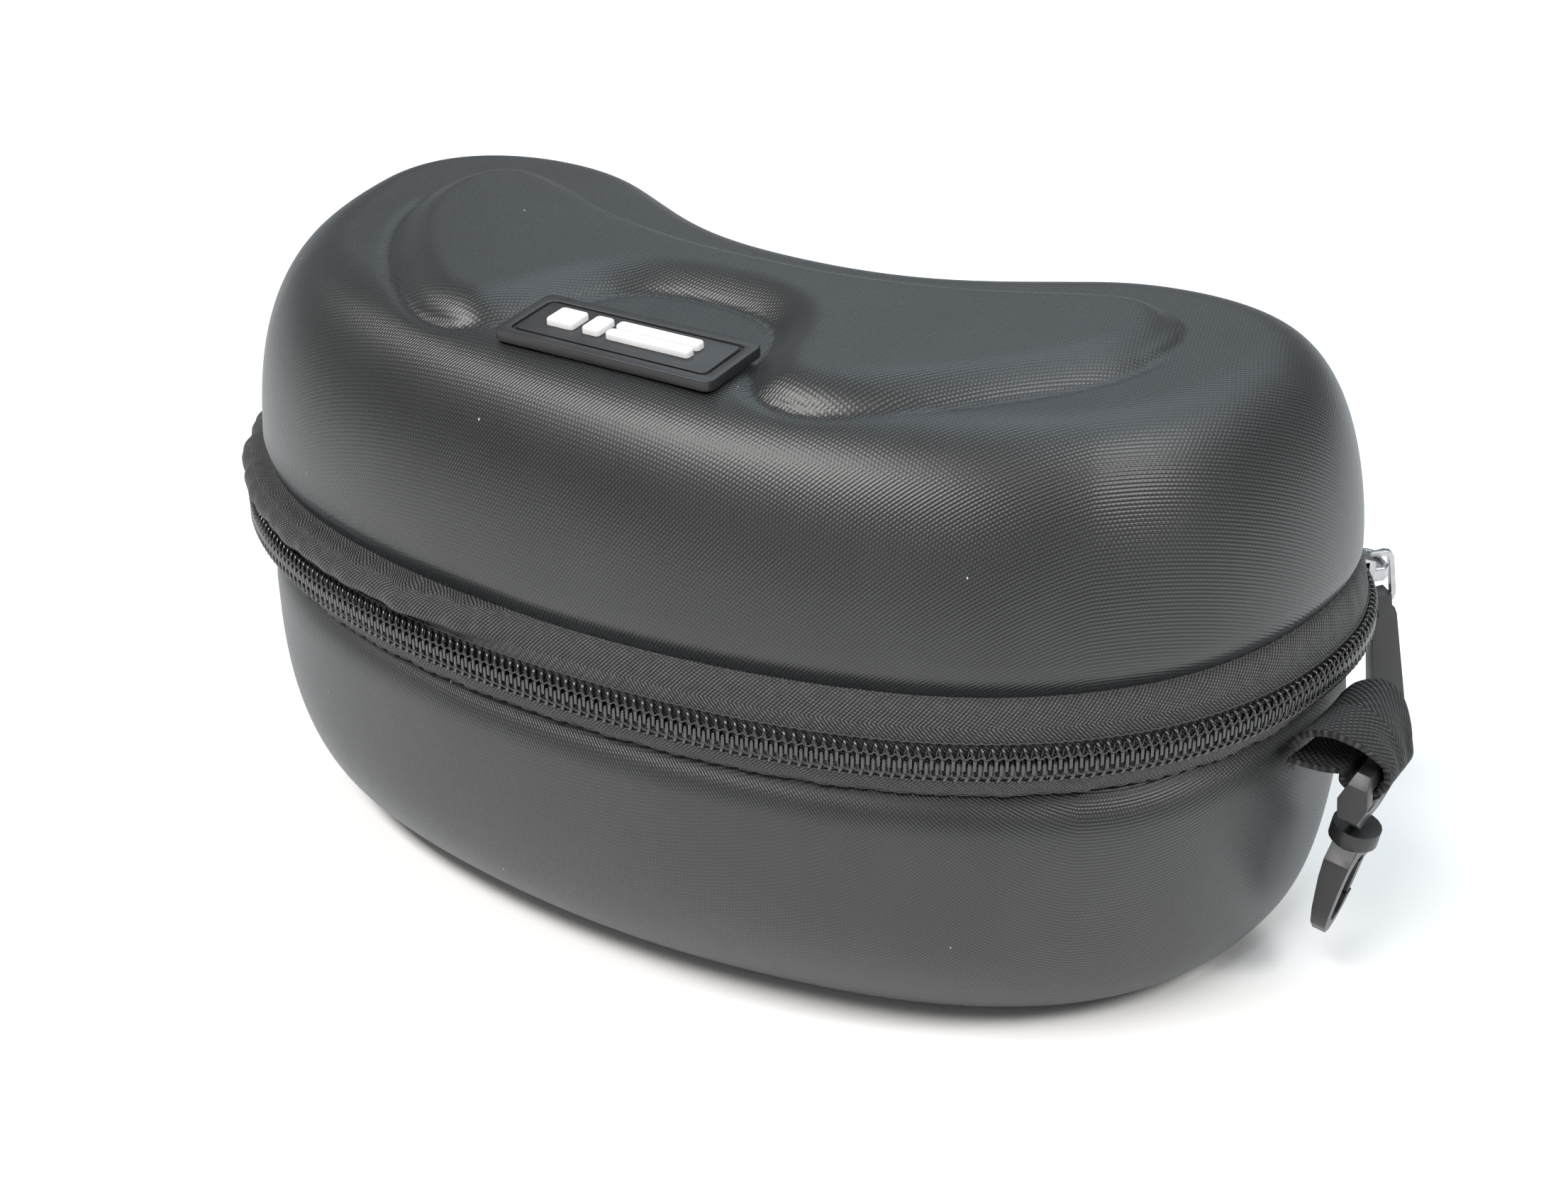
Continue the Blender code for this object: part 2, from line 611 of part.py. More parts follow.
# ---------------------------------------------------------------- badge
def make_badge(mats, parts, cutters, lid):
    """Moulded patch in the nose notch, with a grooved border and a plain raised motif."""
    centre = (0.0, BADGE_Y, LID_TOP + BADGE_LIFT + BADGE_SIZE.z / 2)
    holder = add_empty("badge_place", centre, parts, parent=lid, rotation=(BADGE_TILT, 0.0, 0.0))
    outline = rounded_box(BADGE_SIZE.x, BADGE_SIZE.y, 0.0014)
    mesh = extruded_outline("badge", [outline], BADGE_SIZE.z, Matrix())
    badge = add_object("badge", mesh, mats["rubber"], parts, parent=holder)
    wide, deep = BADGE_SIZE.x - 2 * BADGE_BORDER, BADGE_SIZE.y - 2 * BADGE_BORDER
    groove = [rounded_box(wide + 2 * GROOVE_WIDTH, deep + 2 * GROOVE_WIDTH, 0.0012),
              rounded_box(wide, deep, 0.0008)]
    mesh = extruded_outline("badge_groove", groove, 2 * GROOVE_DEPTH, Matrix())
    cutter = add_object("badge_groove", mesh, None, cutters, parent=holder)
    cutter.location = (0.0, 0.0, BADGE_SIZE.z / 2)
    add_boolean(badge, cutter, 'DIFFERENCE')

    plinth = extruded_outline("badge_motif", [rounded_box(0.0310, 0.0066, 0.0010)], 0.0003, Matrix())
    motif = add_object("badge_motif", plinth, mats["motif"], parts, parent=holder)
    motif.location = (0.0, 0.0, BADGE_SIZE.z / 2 + 0.00045)
    dashes = ((-0.0110, 0.0, 0.0060, 0.0044), (-0.0020, 0.0012, 0.0090, 0.0017),
              (-0.0020, -0.0012, 0.0090, 0.0017), (0.0095, 0.0, 0.0100, 0.0017))
    for number, (x, y, length, width) in enumerate(dashes):
        name = f"motif_dash_{number}"
        place = Matrix.Translation((x, y, 0.0003))
        mesh = extruded_outline(name, [rounded_box(length, width, 0.0005)], 0.0007, place)
        dash = add_object(name, mesh, None, cutters, motif.location, parent=holder)
        add_boolean(motif, dash, 'UNION')


# ---------------------------------------------------------------- web loop and hook
def make_web_loop(mats, parts, base):
    """Webbing sewn under the base's rim at the right end, drooping into a loop round the eye's bar."""
    wall = SIDE.x
    reach = 0.0032
    path = [(wall + 0.0012, BASE_RIM - 0.0022), (wall + 0.0034, BASE_RIM + 0.0004),
            (wall + 0.0070, BASE_RIM + 0.0018), (wall + 0.0104, BASE_RIM + 0.0005),
            (wall + 0.0130, BASE_RIM - 0.0032)]
    for step in range(7):
        angle = math.radians(5 - 190 * step / 6)
        path.append((EYE_BAR_X + reach * math.cos(angle), EYE_BAR_Z + reach * math.sin(angle)))
    path += [(wall + 0.0052, BASE_RIM - 0.0062), (wall + 0.0012, BASE_RIM - 0.0050)]
    section = thick_path(path, WEB_THICK)
    mesh = extruded_outline("web_loop", [section], WEB_WIDTH, FACING_Y)
    outline = right_outline()
    for vertex in mesh.vertices:
        out = min(max((vertex.co.x - wall) / (EYE_BAR_X - wall), 0.0), 1.0)
        wall_there = first_hit(Vector((0.0, WEB_Y + vertex.co.y)), Vector((1.0, 0.0)), outline).x
        drop = min(max((BASE_RIM + 0.0020 - vertex.co.z) / (BASE_RIM - EYE_BAR_Z), 0.0), 1.0) * out
        vertex.co.x += (wall_there - wall) * (1 - out)
        vertex.co.y = vertex.co.y * (1 - WEB_GATHER * drop) + WEB_SLANT * drop
    add_object("web_loop", mesh, mats["tape"], parts, (0.0, WEB_Y, 0.0), parent=base)


def make_hook(mats, parts, cutters, base):
    """Swivel snap hook: it hangs down its own -Z, flat in its own YZ plane."""
    place = (EYE_BAR_X, EYE_BAR_Y, EYE_BAR_Z)
    hang = add_empty("hook_swing", place, parts, parent=base, rotation=(0.0, HOOK_SWING, 0.0))
    right = [(0.0040, -0.0104), (0.0086, -0.0068), (0.0086, -0.0006), (0.0070, 0.0013)]
    outer = [(-x, z) for x, z in right[::-1]] + right
    right = [(0.0030, -0.0076), (0.0062, -0.0052), (0.0062, -0.0013)]
    window = [(-x, z) for x, z in right[::-1]] + right
    mesh = extruded_outline("hook_eye", [outer, window], 0.0036, ACROSS_Y)
    eye = add_object("hook_eye", mesh, mats["plastic"], parts, parent=hang)
    hollow = cylinder_mesh("stem_bore", STEM_RADIUS + PIVOT_GAP, 0.0060)
    bore = add_object("stem_bore", hollow, None, cutters, (0.0, 0.0, -0.0100), parent=hang)
    add_boolean(eye, bore, 'DIFFERENCE')

    swivel = add_empty("hook_swivel", (0.0, 0.0, SWIVEL_DROP), parts, parent=hang)
    loops = [capsule(HOOK_HALF, -0.0015, NOSE_DROP), capsule(WINDOW_HALF, -0.0055, NOSE_DROP + 0.0024)]
    mesh = extruded_outline("hook_body", loops, HOOK_THICK, ACROSS_Y)
    body = add_object("hook_body", mesh, mats["plastic"], parts, parent=swivel)
    turned = (("collar", 0.0040, -0.0026, 0.0002), ("stem", STEM_RADIUS, -0.0010, 0.0062),
              ("stem_head", 0.0018, 0.0052, 0.0062))
    for name, radius, low, high in turned:
        lift = Matrix.Translation((0.0, 0.0, (low + high) / 2))
        mesh = cylinder_mesh(name, radius, high - low, matrix=lift)
        add_boolean(body, add_object(name, mesh, None, cutters, parent=swivel), 'UNION')

    pivot = (0.0, GATE_PIN_Y, GATE_PIN_Z)
    mouth = box_mesh("mouth", (0.0060, 0.0050, GATE_TOP - GATE_END))
    slot = box_mesh("gate_slot", (0.0024, 0.0042, 0.0044))
    bore = cylinder_mesh("pin_bore", PIN_RADIUS + PIVOT_GAP + 0.0001, 0.0060, 12, ALONG_X)
    cuts = (
        ("mouth", mouth, (0.0, GATE_PIN_Y + 0.0006, (GATE_TOP + GATE_END) / 2)),
        ("gate_slot", slot, (0.0, GATE_PIN_Y + 0.0002, GATE_PIN_Z - 0.0001)),
        ("pin_bore", bore, pivot),
    )
    for name, mesh, where in cuts:
        add_boolean(body, add_object(name, mesh, None, cutters, where, parent=swivel), 'DIFFERENCE')
    make_gate(pivot, mats, parts, cutters, swivel)


def make_gate(pivot, mats, parts, cutters, swivel):
    """Leaf across the hook's mouth, whose lug turns on a pin through the hook."""
    hinge = add_empty("gate_hinge", pivot, parts, parent=swivel)
    top, end = GATE_TOP - GATE_PIN_Z - 0.0008, GATE_END - GATE_PIN_Z + 0.0003
    blade = [(-0.0012, top), (-0.0010, end), (0.0013, end), (0.0013, top)]
    mesh = extruded_outline("hook_gate", [blade], 0.0038, ACROSS_Y)
    gate = add_object("hook_gate", mesh, mats["plastic"], parts, parent=hinge)
    mesh = extruded_outline("gate_lug", [capsule(0.0013, 0.0013, top - 0.0012)], 0.0016, ACROSS_Y)
    add_boolean(gate, add_object("gate_lug", mesh, None, cutters, parent=hinge), 'UNION')
    mesh = cylinder_mesh("gate_bore", PIN_RADIUS + PIVOT_GAP, 0.0060, 12, ALONG_X)
    add_boolean(gate, add_object("gate_bore", mesh, None, cutters, parent=hinge), 'DIFFERENCE')
    mesh = cylinder_mesh("gate_pin", PIN_RADIUS, HOOK_THICK, 12, ALONG_X)
    add_object("gate_pin", mesh, mats["metal"], parts, parent=hinge)


def capsule(radius, top, bottom, steps=6):
    """Outline of an upright slot with round ends, anticlockwise, in (across, up)."""
    points = []
    for middle, start in ((bottom + radius, math.pi), (top - radius, 0.0)):
        for step in range(steps + 1):
            angle = start + math.pi * step / steps
            points.append((radius * math.cos(angle), middle + radius * math.sin(angle)))
    return points


def build():
    clear_scene()
    parts = make_collection("zip_case")
    cutters = make_collection("cutters")
    mats = make_materials()
    base = add_empty("base_body", (CASE_X, CASE_Y, ZIP_Z), parts)
    lid = add_empty("lid_body", (CASE_X, CASE_Y, ZIP_Z), parts)
    make_base(mats, parts, base)
    make_lid(mats, parts, cutters, lid)
    make_zip(mats, parts, cutters, base, lid)
    make_gusset(mats, parts, base)
    make_slider(mats, parts, cutters, base)
    make_badge(mats, parts, cutters, lid)
    make_web_loop(mats, parts, base)
    make_hook(mats, parts, cutters, base)


build()
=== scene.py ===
"""Looks of the hard zip case: covers, lining, zip, webbing, badge and hook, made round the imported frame.

Metres, +Z up. Most forms are worked out in the case's own coordinates, whose origin is the middle of
the plan at the height of the zip line, and are then shifted by CASE into the frame.
"""
import json
import math

import bmesh
import bpy
import numpy as np
from mathutils import Matrix, Vector
from mathutils.geometry import interpolate_bezier


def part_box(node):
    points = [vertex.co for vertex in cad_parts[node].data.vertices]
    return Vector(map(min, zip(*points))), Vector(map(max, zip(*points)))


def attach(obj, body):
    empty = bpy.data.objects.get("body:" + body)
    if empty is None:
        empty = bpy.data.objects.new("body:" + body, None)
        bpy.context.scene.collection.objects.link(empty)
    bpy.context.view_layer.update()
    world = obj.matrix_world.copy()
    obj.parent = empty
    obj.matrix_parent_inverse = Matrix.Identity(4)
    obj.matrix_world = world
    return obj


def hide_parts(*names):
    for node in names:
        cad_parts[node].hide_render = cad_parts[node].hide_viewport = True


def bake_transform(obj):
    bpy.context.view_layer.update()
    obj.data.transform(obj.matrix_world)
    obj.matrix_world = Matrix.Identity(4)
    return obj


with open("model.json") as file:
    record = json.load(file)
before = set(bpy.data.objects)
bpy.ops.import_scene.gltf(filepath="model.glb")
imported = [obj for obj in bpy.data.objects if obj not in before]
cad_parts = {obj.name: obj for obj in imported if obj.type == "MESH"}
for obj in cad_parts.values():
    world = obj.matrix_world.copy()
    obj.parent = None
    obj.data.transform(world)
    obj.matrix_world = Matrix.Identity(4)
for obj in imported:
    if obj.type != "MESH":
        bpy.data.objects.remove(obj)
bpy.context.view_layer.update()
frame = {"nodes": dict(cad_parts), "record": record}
MM = 0.001

# ---------------------------------------------------------------- the frame's own places
JOINTS = {joint["name"]: joint for joint in frame["record"]["behaviour"]["joints"]}
HINGE = JOINTS["lid_hinge"]
BASE_LOW, BASE_HIGH = (Vector(corner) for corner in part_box("base_shell"))
CASE = Vector((HINGE["pos_m"][0], (BASE_LOW.y + BASE_HIGH.y) / 2, HINGE["pos_m"][2]))

# ---------------------------------------------------------------- driving dimensions, as in the part
FRONT = Vector((0.0, -0.0552))
SIDE = Vector((0.0990, 0.0183))
BACK = Vector((0.0635, 0.0552))
NECK = Vector((0.0, 0.0345))
FRONT_PULL, SIDE_PULL_FRONT = 0.0913, 0.0202
SIDE_PULL_BACK, BACK_PULL_SIDE = 0.0222, 0.0202
BACK_PULL_NECK, NECK_PULL = 0.0260, 0.0320
LOBE = Vector((0.0580, 0.0060))
LID_RIM, LID_TOP = 0.0095, 0.0469
BASE_RIM, BASE_FLOOR = -0.0070, -CASE.z
LID_SHOULDER = (0.0204, 0.0178, 0.0216)     # how far the rounding reaches in: front, ends, back
BASE_SHOULDER = (0.0290, 0.0208, 0.0290)
LID_ROUNDNESS = (2.42, 2.00, 2.00)
BASE_ROUNDNESS = (2.80, 3.20, 2.90)
PLATEAU_RISE = 0.0038
FOAM_THICK, LINING_SINK, LINING_THICK = 0.0030, 0.0036, 0.0005
TAPE_THICK = 0.0006
TAPE_FACE = -0.0017                         # outer face of the tapes behind the coil
ZIP_PITCH = 0.0015
COIL_WIRE = 0.00027                         # radius of the coil's round wire
HEAD_WIDE, HEAD_DEEP = 0.00054, 0.00062
HEAD_MIDDLE = 0.00140                       # the tooth heads' middle, outwards from the tapes' face
HEAD_SHARE = 0.42                           # where the head stands within one turn of the coil
ZIP_THREAD, SEAM_THREAD, FRAY_YARN = 0.00013, 0.00016, 0.00007
STITCH_LENGTH, STITCH_GAP, STITCH_LIFT = 0.0023, 0.0007, 0.00022
UPPER_SEAM_ROW, LOWER_SEAM_ROW = 28, 19     # the tapes' section points that the seams run along
WEB_THICK = 0.0011
EYE_BAR = Vector((0.1098, 0.0118, -0.0138))
WEB_Y, WEB_HALF, WEB_SLANT, WEB_GATHER = 0.0114, 0.0100, 0.0008, 0.54

RIDGE_STEPS, FAN_STEPS = 64, 100            # columns of the mouldings' grids
SHOULDER_ROWS, ROOF_ROWS = 34, 34
BEVEL_STEPS, BEVEL_ANGLE = 3, math.radians(30)
RNG = np.random.default_rng(7)


# ---------------------------------------------------------------- the plan outline
def outline_points(per_stretch=260):
    """Fine points round the whole wall, anticlockwise from the middle of the front."""
    along_x, along_y = Vector((1.0, 0.0)), Vector((0.0, 1.0))
    stretches = (
        (FRONT, FRONT + FRONT_PULL * along_x, SIDE - SIDE_PULL_FRONT * along_y, SIDE),
        (SIDE, SIDE + SIDE_PULL_BACK * along_y, BACK + BACK_PULL_SIDE * along_x, BACK),
        (BACK, BACK - BACK_PULL_NECK * along_x, NECK + NECK_PULL * along_x, NECK),
    )
    points = [np.array(FRONT)]
    for knots in stretches:
        curve = interpolate_bezier(*(knot.to_3d() for knot in knots), per_stretch)
        points += [np.array(point.xy) for point in curve[1:]]
    right = np.array(points)
    left = right[-2:0:-1] * (-1.0, 1.0)
    return np.vstack([right, left])


OUTLINE = outline_points()


class Wall:
    """The wall's plan by arc length s: 0 in the middle of the front, growing towards +X."""

    def __init__(self, outline):
        closed = np.vstack([outline, outline[:1]])
        lengths = np.linalg.norm(np.diff(closed, axis=0), axis=1)
        self.s = np.concatenate([[0.0], np.cumsum(lengths)])
        self.length = self.s[-1]
        self.points = closed

    def at(self, s):
        """Plan points and unit vectors into the case, at each s."""
        def place(where):
            where = np.mod(where, self.length)
            return np.stack([np.interp(where, self.s, self.points[:, axis]) for axis in (0, 1)], axis=-1)
        s = np.asarray(s, float)
        along = place(s + 0.0006) - place(s - 0.0006)
        along /= np.linalg.norm(along, axis=-1, keepdims=True)
        return place(s), np.stack([-along[..., 1], along[..., 0]], axis=-1)

    def nearest(self, place):
        gaps = np.linalg.norm(self.points[:-1] - np.array(place)[:2], axis=1)
        return float(self.s[int(np.argmin(gaps))])


WALL = Wall(OUTLINE)


def node_middle(node):
    low, high = (Vector(corner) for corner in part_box(node))
    return (low + high) / 2 - CASE


STOP_S = WALL.nearest(node_middle("upper_top_stop"))
SLIDER_S = WALL.nearest(node_middle("slider_body"))
BOTTOM_S = WALL.nearest(node_middle("bottom_stop")) - WALL.length
TAPE_S = STOP_S + 0.004


# ---------------------------------------------------------------- mesh helpers
def smooth_mesh(name, vertices, faces, uvs=None):
    """Mesh from vertices and faces in case coordinates, shaded smooth; uvs has one pair per vertex."""
    mesh = bpy.data.meshes.new(name)
    mesh.from_pydata((np.asarray(vertices) + np.array(CASE)).tolist(), [], faces)
    if uvs is not None:
        layer = mesh.uv_layers.new(name="UVMap")
        corner_vertices = np.empty(len(mesh.loops), dtype=np.int32)
        mesh.loops.foreach_get("vertex_index", corner_vertices)
        layer.data.foreach_set("uv", np.asarray(uvs, np.float32)[corner_vertices].ravel())
    mesh.shade_smooth()
    return mesh


def grid_faces(rows, columns, wrap, flip=False):
    """Four-sided faces over rows of vertices; wrap closes each row, flip turns the faces round."""
    faces = []
    for row in range(rows - 1):
        for column in range(columns if wrap else columns - 1):
            after = (column + 1) % columns
            corners = (row * columns + column, row * columns + after,
                       (row + 1) * columns + after, (row + 1) * columns + column)
            faces.append(corners[::-1] if flip else corners)
    return faces


def grid_mesh(name, grid, uvs, wrap=False, flip=False):
    """Mesh over a grid of places, with the flat cloth's coordinates as its UVs."""
    rows, columns = grid.shape[:2]
    faces = grid_faces(rows, columns, wrap, flip)
    return smooth_mesh(name, grid.reshape(-1, 3), faces, uvs.reshape(-1, 2))


def weld(mesh, distance=0.00001):
    """Joins vertices that lie on each other."""
    bm = bmesh.new()
    bm.from_mesh(mesh)
    bmesh.ops.remove_doubles(bm, verts=bm.verts, dist=distance)
    bm.to_mesh(mesh)
    bm.free()


def add_piece(name, mesh, material, body=None, stands_for=()):
    """A piece in the scene; body is what it rides on, or None where it rides on no body."""
    piece = bpy.data.objects.new(name, mesh)
    bpy.context.scene.collection.objects.link(piece)
    if material is not None:
        mesh.materials.append(material)
    if stands_for:
        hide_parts(*stands_for)
    if body is not None:
        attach(piece, body)
    return piece


def thicken(piece, thickness, offset=-1.0):
    modifier = piece.modifiers.new("Thickness", 'SOLIDIFY')
    modifier.thickness = thickness
    modifier.offset = offset
    modifier.use_rim = True


def apply_modifiers(piece):
    """Turns the piece's modifiers into its mesh."""
    graph = bpy.context.evaluated_depsgraph_get()
    mesh = bpy.data.meshes.new_from_object(piece.evaluated_get(graph))
    old = piece.data
    piece.modifiers.clear()
    piece.data = mesh
    bpy.data.meshes.remove(old)


def tube_parts(path, radius, sides):
    """Vertices and faces of a tube with closed ends along a path; radius may vary along it."""
    path = np.asarray(path, float)
    count = len(path)
    radii = np.broadcast_to(np.asarray(radius, float), (count,))
    tangents = np.gradient(path, axis=0)
    tangents /= np.linalg.norm(tangents, axis=1, keepdims=True)
    normal = np.cross(tangents[0], (0.31, 0.17, 0.93))
    normal /= np.linalg.norm(normal)
    turn = np.arange(sides) / sides * 2 * math.pi
    cosines, sines = np.cos(turn)[:, None], np.sin(turn)[:, None]
    rings = []
    for place, tangent, reach in zip(path, tangents, radii):
        normal = normal - tangent * np.dot(normal, tangent)
        normal /= math.sqrt(np.dot(normal, normal))
        rings.append(place + reach * (cosines * normal + sines * np.cross(tangent, normal)))
    faces = grid_faces(count, sides, wrap=True)
    faces.append(tuple(range(sides - 1, -1, -1)))
    faces.append(tuple(range((count - 1) * sides, count * sides)))
    return np.vstack(rings), faces


def tubes_mesh(name, paths, radius, sides=8):
    """One mesh of many tubes."""
    vertices, faces = [], []
    start = 0
    for path in paths:
        points, sides_of = tube_parts(path, radius, sides)
        vertices.append(points)
        faces += [tuple(corner + start for corner in face) for face in sides_of]
        start += len(points)
    return smooth_mesh(name, np.vstack(vertices), faces)


def smooth_noise(s, wave, seed):
    """Gentle repeatable noise from -1 to 1 along s, with features about one wave long."""
    rng = np.random.default_rng(seed)
    total = np.zeros_like(np.asarray(s, float))
    for octave in range(3):
        phase, stretch = rng.uniform(0, 2 * math.pi), rng.uniform(0.8, 1.3)
        turns = 2 * math.pi * np.asarray(s) / (wave * stretch)
        total += np.sin(turns * 1.7 ** octave + phase) / 1.5 ** octave
    return total / 2.1


def ease(value, start, end):
    """0 before start, 1 after end, smooth between them."""
    share = np.clip((value - start) / (end - start), 0.0, 1.0)
    return share * share * (3 - 2 * share)


# ---------------------------------------------------------------- materials
class Finish:
    """A Principled material and short ways to write its nodes."""

    def __init__(self, name, roughness=0.5, specular=0.5, metallic=0.0):
        self.material = bpy.data.materials.new(name)
        self.material.use_nodes = True
        self.tree = self.material.node_tree
        self.shader = self.tree.nodes["Principled BSDF"]
        self.set(self.shader, "Roughness", roughness)
        self.set(self.shader, "Specular IOR Level", specular)
        self.set(self.shader, "Metallic", metallic)

    def set(self, node, socket, value):
        target = node.inputs[socket]
        if isinstance(value, bpy.types.NodeSocket):
            self.tree.links.new(value, target)
        elif isinstance(value, (tuple, list)) and len(value) == 3 and target.type == 'RGBA':
            target.default_value = (*value, 1.0)
        else:
            target.default_value = value

    def node(self, kind, output=0, inputs=(), **settings):
        node = self.tree.nodes.new(kind)
        for key, value in settings.items():
            setattr(node, key, value)
        for socket, value in dict(inputs).items():
            self.set(node, socket, value)
        return node.outputs[output]

    def math(self, operation, first, second=0.0, third=0.0):
        return self.node("ShaderNodeMath", 0, {0: first, 1: second, 2: third}, operation=operation)

    def wave(self, turns):
        """0 to 1 and back once per whole turn."""
        swing = self.math('COSINE', self.math('MULTIPLY', turns, 2 * math.pi))
        return self.math('MULTIPLY_ADD', swing, 0.5, 0.5)

    def mapped(self, source, scale, angle=0.0):
        coordinates = {
            "uv": lambda: self.node("ShaderNodeUVMap", 0),
            "object": lambda: self.node("ShaderNodeTexCoord", "Object"),
        }[source]()
        values = {"Vector": coordinates, "Rotation": (0.0, 0.0, angle), "Scale": scale}
        return self.node("ShaderNodeMapping", 0, values)

    def noise(self, vector, scale, detail=3.0, roughness=0.55):
        values = {"Vector": vector, "Scale": scale, "Detail": detail, "Roughness": roughness}
        return self.node("ShaderNodeTexNoise", 0, values)

    def mix(self, share, dark, light):
        node = self.tree.nodes.new("ShaderNodeMix")
        node.data_type = 'RGBA'
        self.set(node, 0, share)
        self.set(node, 6, dark)
        self.set(node, 7, light)
        return node.outputs[2]

    def axes(self, vector):
        node = self.tree.nodes.new("ShaderNodeSeparateXYZ")
        self.set(node, 0, vector)
        return node.outputs

    def color(self, value):
        self.set(self.shader, "Base Color", value)

    def bump(self, height, distance, strength=1.0):
        values = {"Height": height, "Distance": distance, "Strength": strength}
        self.set(self.shader, "Normal", self.node("ShaderNodeBump", 0, values))

    def sheen(self, weight, roughness, tint):
        self.set(self.shader, "Sheen Weight", weight)
        self.set(self.shader, "Sheen Roughness", roughness)
        self.set(self.shader, "Sheen Tint", tint)

    def grain(self, source, size):
        return self.noise(self.mapped(source, (1.0, 1.0, 1.0)), 1.0 / size)


def cover_finish():
    """Ribbed charcoal knit: diagonal rows of beads, a cool satin sheen and a little white lint."""
    finish = Finish("cover_fabric", roughness=0.37, specular=0.60)
    pitch = 0.00048
    x, y, _ = finish.axes(finish.mapped("uv", (1 / pitch, 1 / pitch, 1.0), math.radians(38)))
    rib = finish.wave(x)
    step = finish.math('MULTIPLY', finish.math('FLOOR', finish.math('ADD', x, 0.5)), 0.5)
    bead = finish.wave(finish.math('ADD', finish.math('MULTIPLY', y, 0.72), step))
    height = finish.math('MULTIPLY', rib, finish.math('MULTIPLY_ADD', bead, 0.55, 0.45))
    patch = finish.noise(finish.mapped("uv", (1.0, 1.0, 1.0)), 60.0)
    shade = finish.math('MULTIPLY_ADD', finish.math('SUBTRACT', patch, 0.5), 0.35, height)
    color = finish.mix(shade, (0.0030, 0.0032, 0.0034), (0.0330, 0.0350, 0.0365))
    values = {"Vector": finish.mapped("uv", (1.0, 1.0, 1.0)), "Scale": 1 / 0.0075}
    cells = finish.tree.nodes.new("ShaderNodeTexVoronoi")
    for socket, value in values.items():
        finish.set(cells, socket, value)
    near = finish.math('LESS_THAN', cells.outputs["Distance"], 0.022)
    chosen = finish.math('GREATER_THAN', finish.axes(cells.outputs["Color"])[0], 0.62)
    finish.color(finish.mix(finish.math('MULTIPLY', near, chosen), color, (0.42, 0.43, 0.44)))
    fuzz = finish.noise(finish.mapped("uv", (1.0, 1.0, 1.0)), 1 / 0.0003)
    finish.bump(finish.math('MULTIPLY_ADD', fuzz, 0.3, height), 0.00012, 0.50)
    finish.sheen(0.07, 0.30, (0.68, 0.88, 1.0))
    return finish.material


def lining_finish():
    """Matt tricot: fine upright wales with a soft nap."""
    finish = Finish("lining_fabric", roughness=0.85, specular=0.20)
    x, y, _ = finish.axes(finish.mapped("uv", (1 / 0.0007, 1 / 0.0005, 1.0)))
    knit = finish.math('MULTIPLY', finish.wave(x), finish.wave(y))
    patch = finish.noise(finish.mapped("uv", (1.0, 1.0, 1.0)), 45.0)
    shade = finish.math('MULTIPLY_ADD', patch, 0.6, finish.math('MULTIPLY', knit, 0.5))
    finish.color(finish.mix(shade, (0.008, 0.008, 0.009), (0.040, 0.040, 0.042)))
    finish.bump(finish.math('ADD', knit, patch), 0.0002, 0.6)
    finish.sheen(0.35, 0.5, (0.75, 0.75, 0.80))
    return finish.material


def herringbone_finish(name, pitch, band, dark, light, sheen):
    """Woven tape: slanting rows that turn back on themselves at each band across the tape."""
    finish = Finish(name, roughness=0.66, specular=0.35)
    x, y, _ = finish.axes(finish.mapped("uv", (1 / pitch, 1 / band, 1.0)))
    zigzag = finish.math('PINGPONG', y, 1.0)
    rows = finish.wave(finish.math('MULTIPLY_ADD', zigzag, band / pitch * 0.9, x))
    yarn = finish.wave(finish.math('MULTIPLY_ADD', y, band / pitch * 1.3, finish.math('MULTIPLY', x, 0.5)))
    height = finish.math('MULTIPLY', rows, finish.math('MULTIPLY_ADD', yarn, 0.65, 0.35))
    patch = finish.noise(finish.mapped("uv", (1.0, 1.0, 1.0)), 1 / 0.0015)
    shade = finish.math('MULTIPLY', height, finish.math('ADD', patch, 0.45))
    finish.color(finish.mix(shade, dark, light))
    finish.bump(height, pitch * 0.3, 0.9)
    finish.sheen(sheen, 0.4, (0.80, 0.84, 0.88))
    return finish.material


def thread_finish():
    """Spun sewing thread, lighter than the tape under it."""
    finish = Finish("sewing_thread", roughness=0.58, specular=0.40)
    patch = finish.grain("object", 0.0004)
    finish.color(finish.mix(patch, (0.010, 0.010, 0.011), (0.060, 0.060, 0.062)))
    finish.bump(patch, 0.00006, 0.8)
    finish.sheen(0.3, 0.4, (0.85, 0.85, 0.88))
    return finish.material


def plastic_finish(name, dark, light, roughness, grain, bump, specular=0.5):
    """Moulded plastic or rubber: a fine spark-eroded grain, and slightly uneven gloss."""
    finish = Finish(name, specular=specular)
    fine = finish.grain("object", grain)
    broad = finish.grain("object", 0.006)
    finish.color(finish.mix(broad, dark, light))
    gloss = finish.math('MULTIPLY_ADD', finish.math('SUBTRACT', broad, 0.5), 0.25, roughness)
    finish.set(finish.shader, "Roughness", gloss)
    finish.bump(fine, bump, 0.5)
    return finish.material


def metal_finish():
    """Bright nickel plate with fine handling scratches."""
    finish = Finish("bright_metal", metallic=1.0)
    broad = finish.grain("object", 0.003)
    scratch = finish.noise(finish.mapped("object", (300.0, 300.0, 3500.0), math.radians(35)), 1.0)
    finish.color(finish.mix(broad, (0.26, 0.26, 0.27), (0.52, 0.52, 0.54)))
    finish.set(finish.shader, "Roughness", finish.math('MULTIPLY_ADD', scratch, 0.22, 0.16))
    finish.bump(scratch, 0.00002, 0.4)
    return finish.material


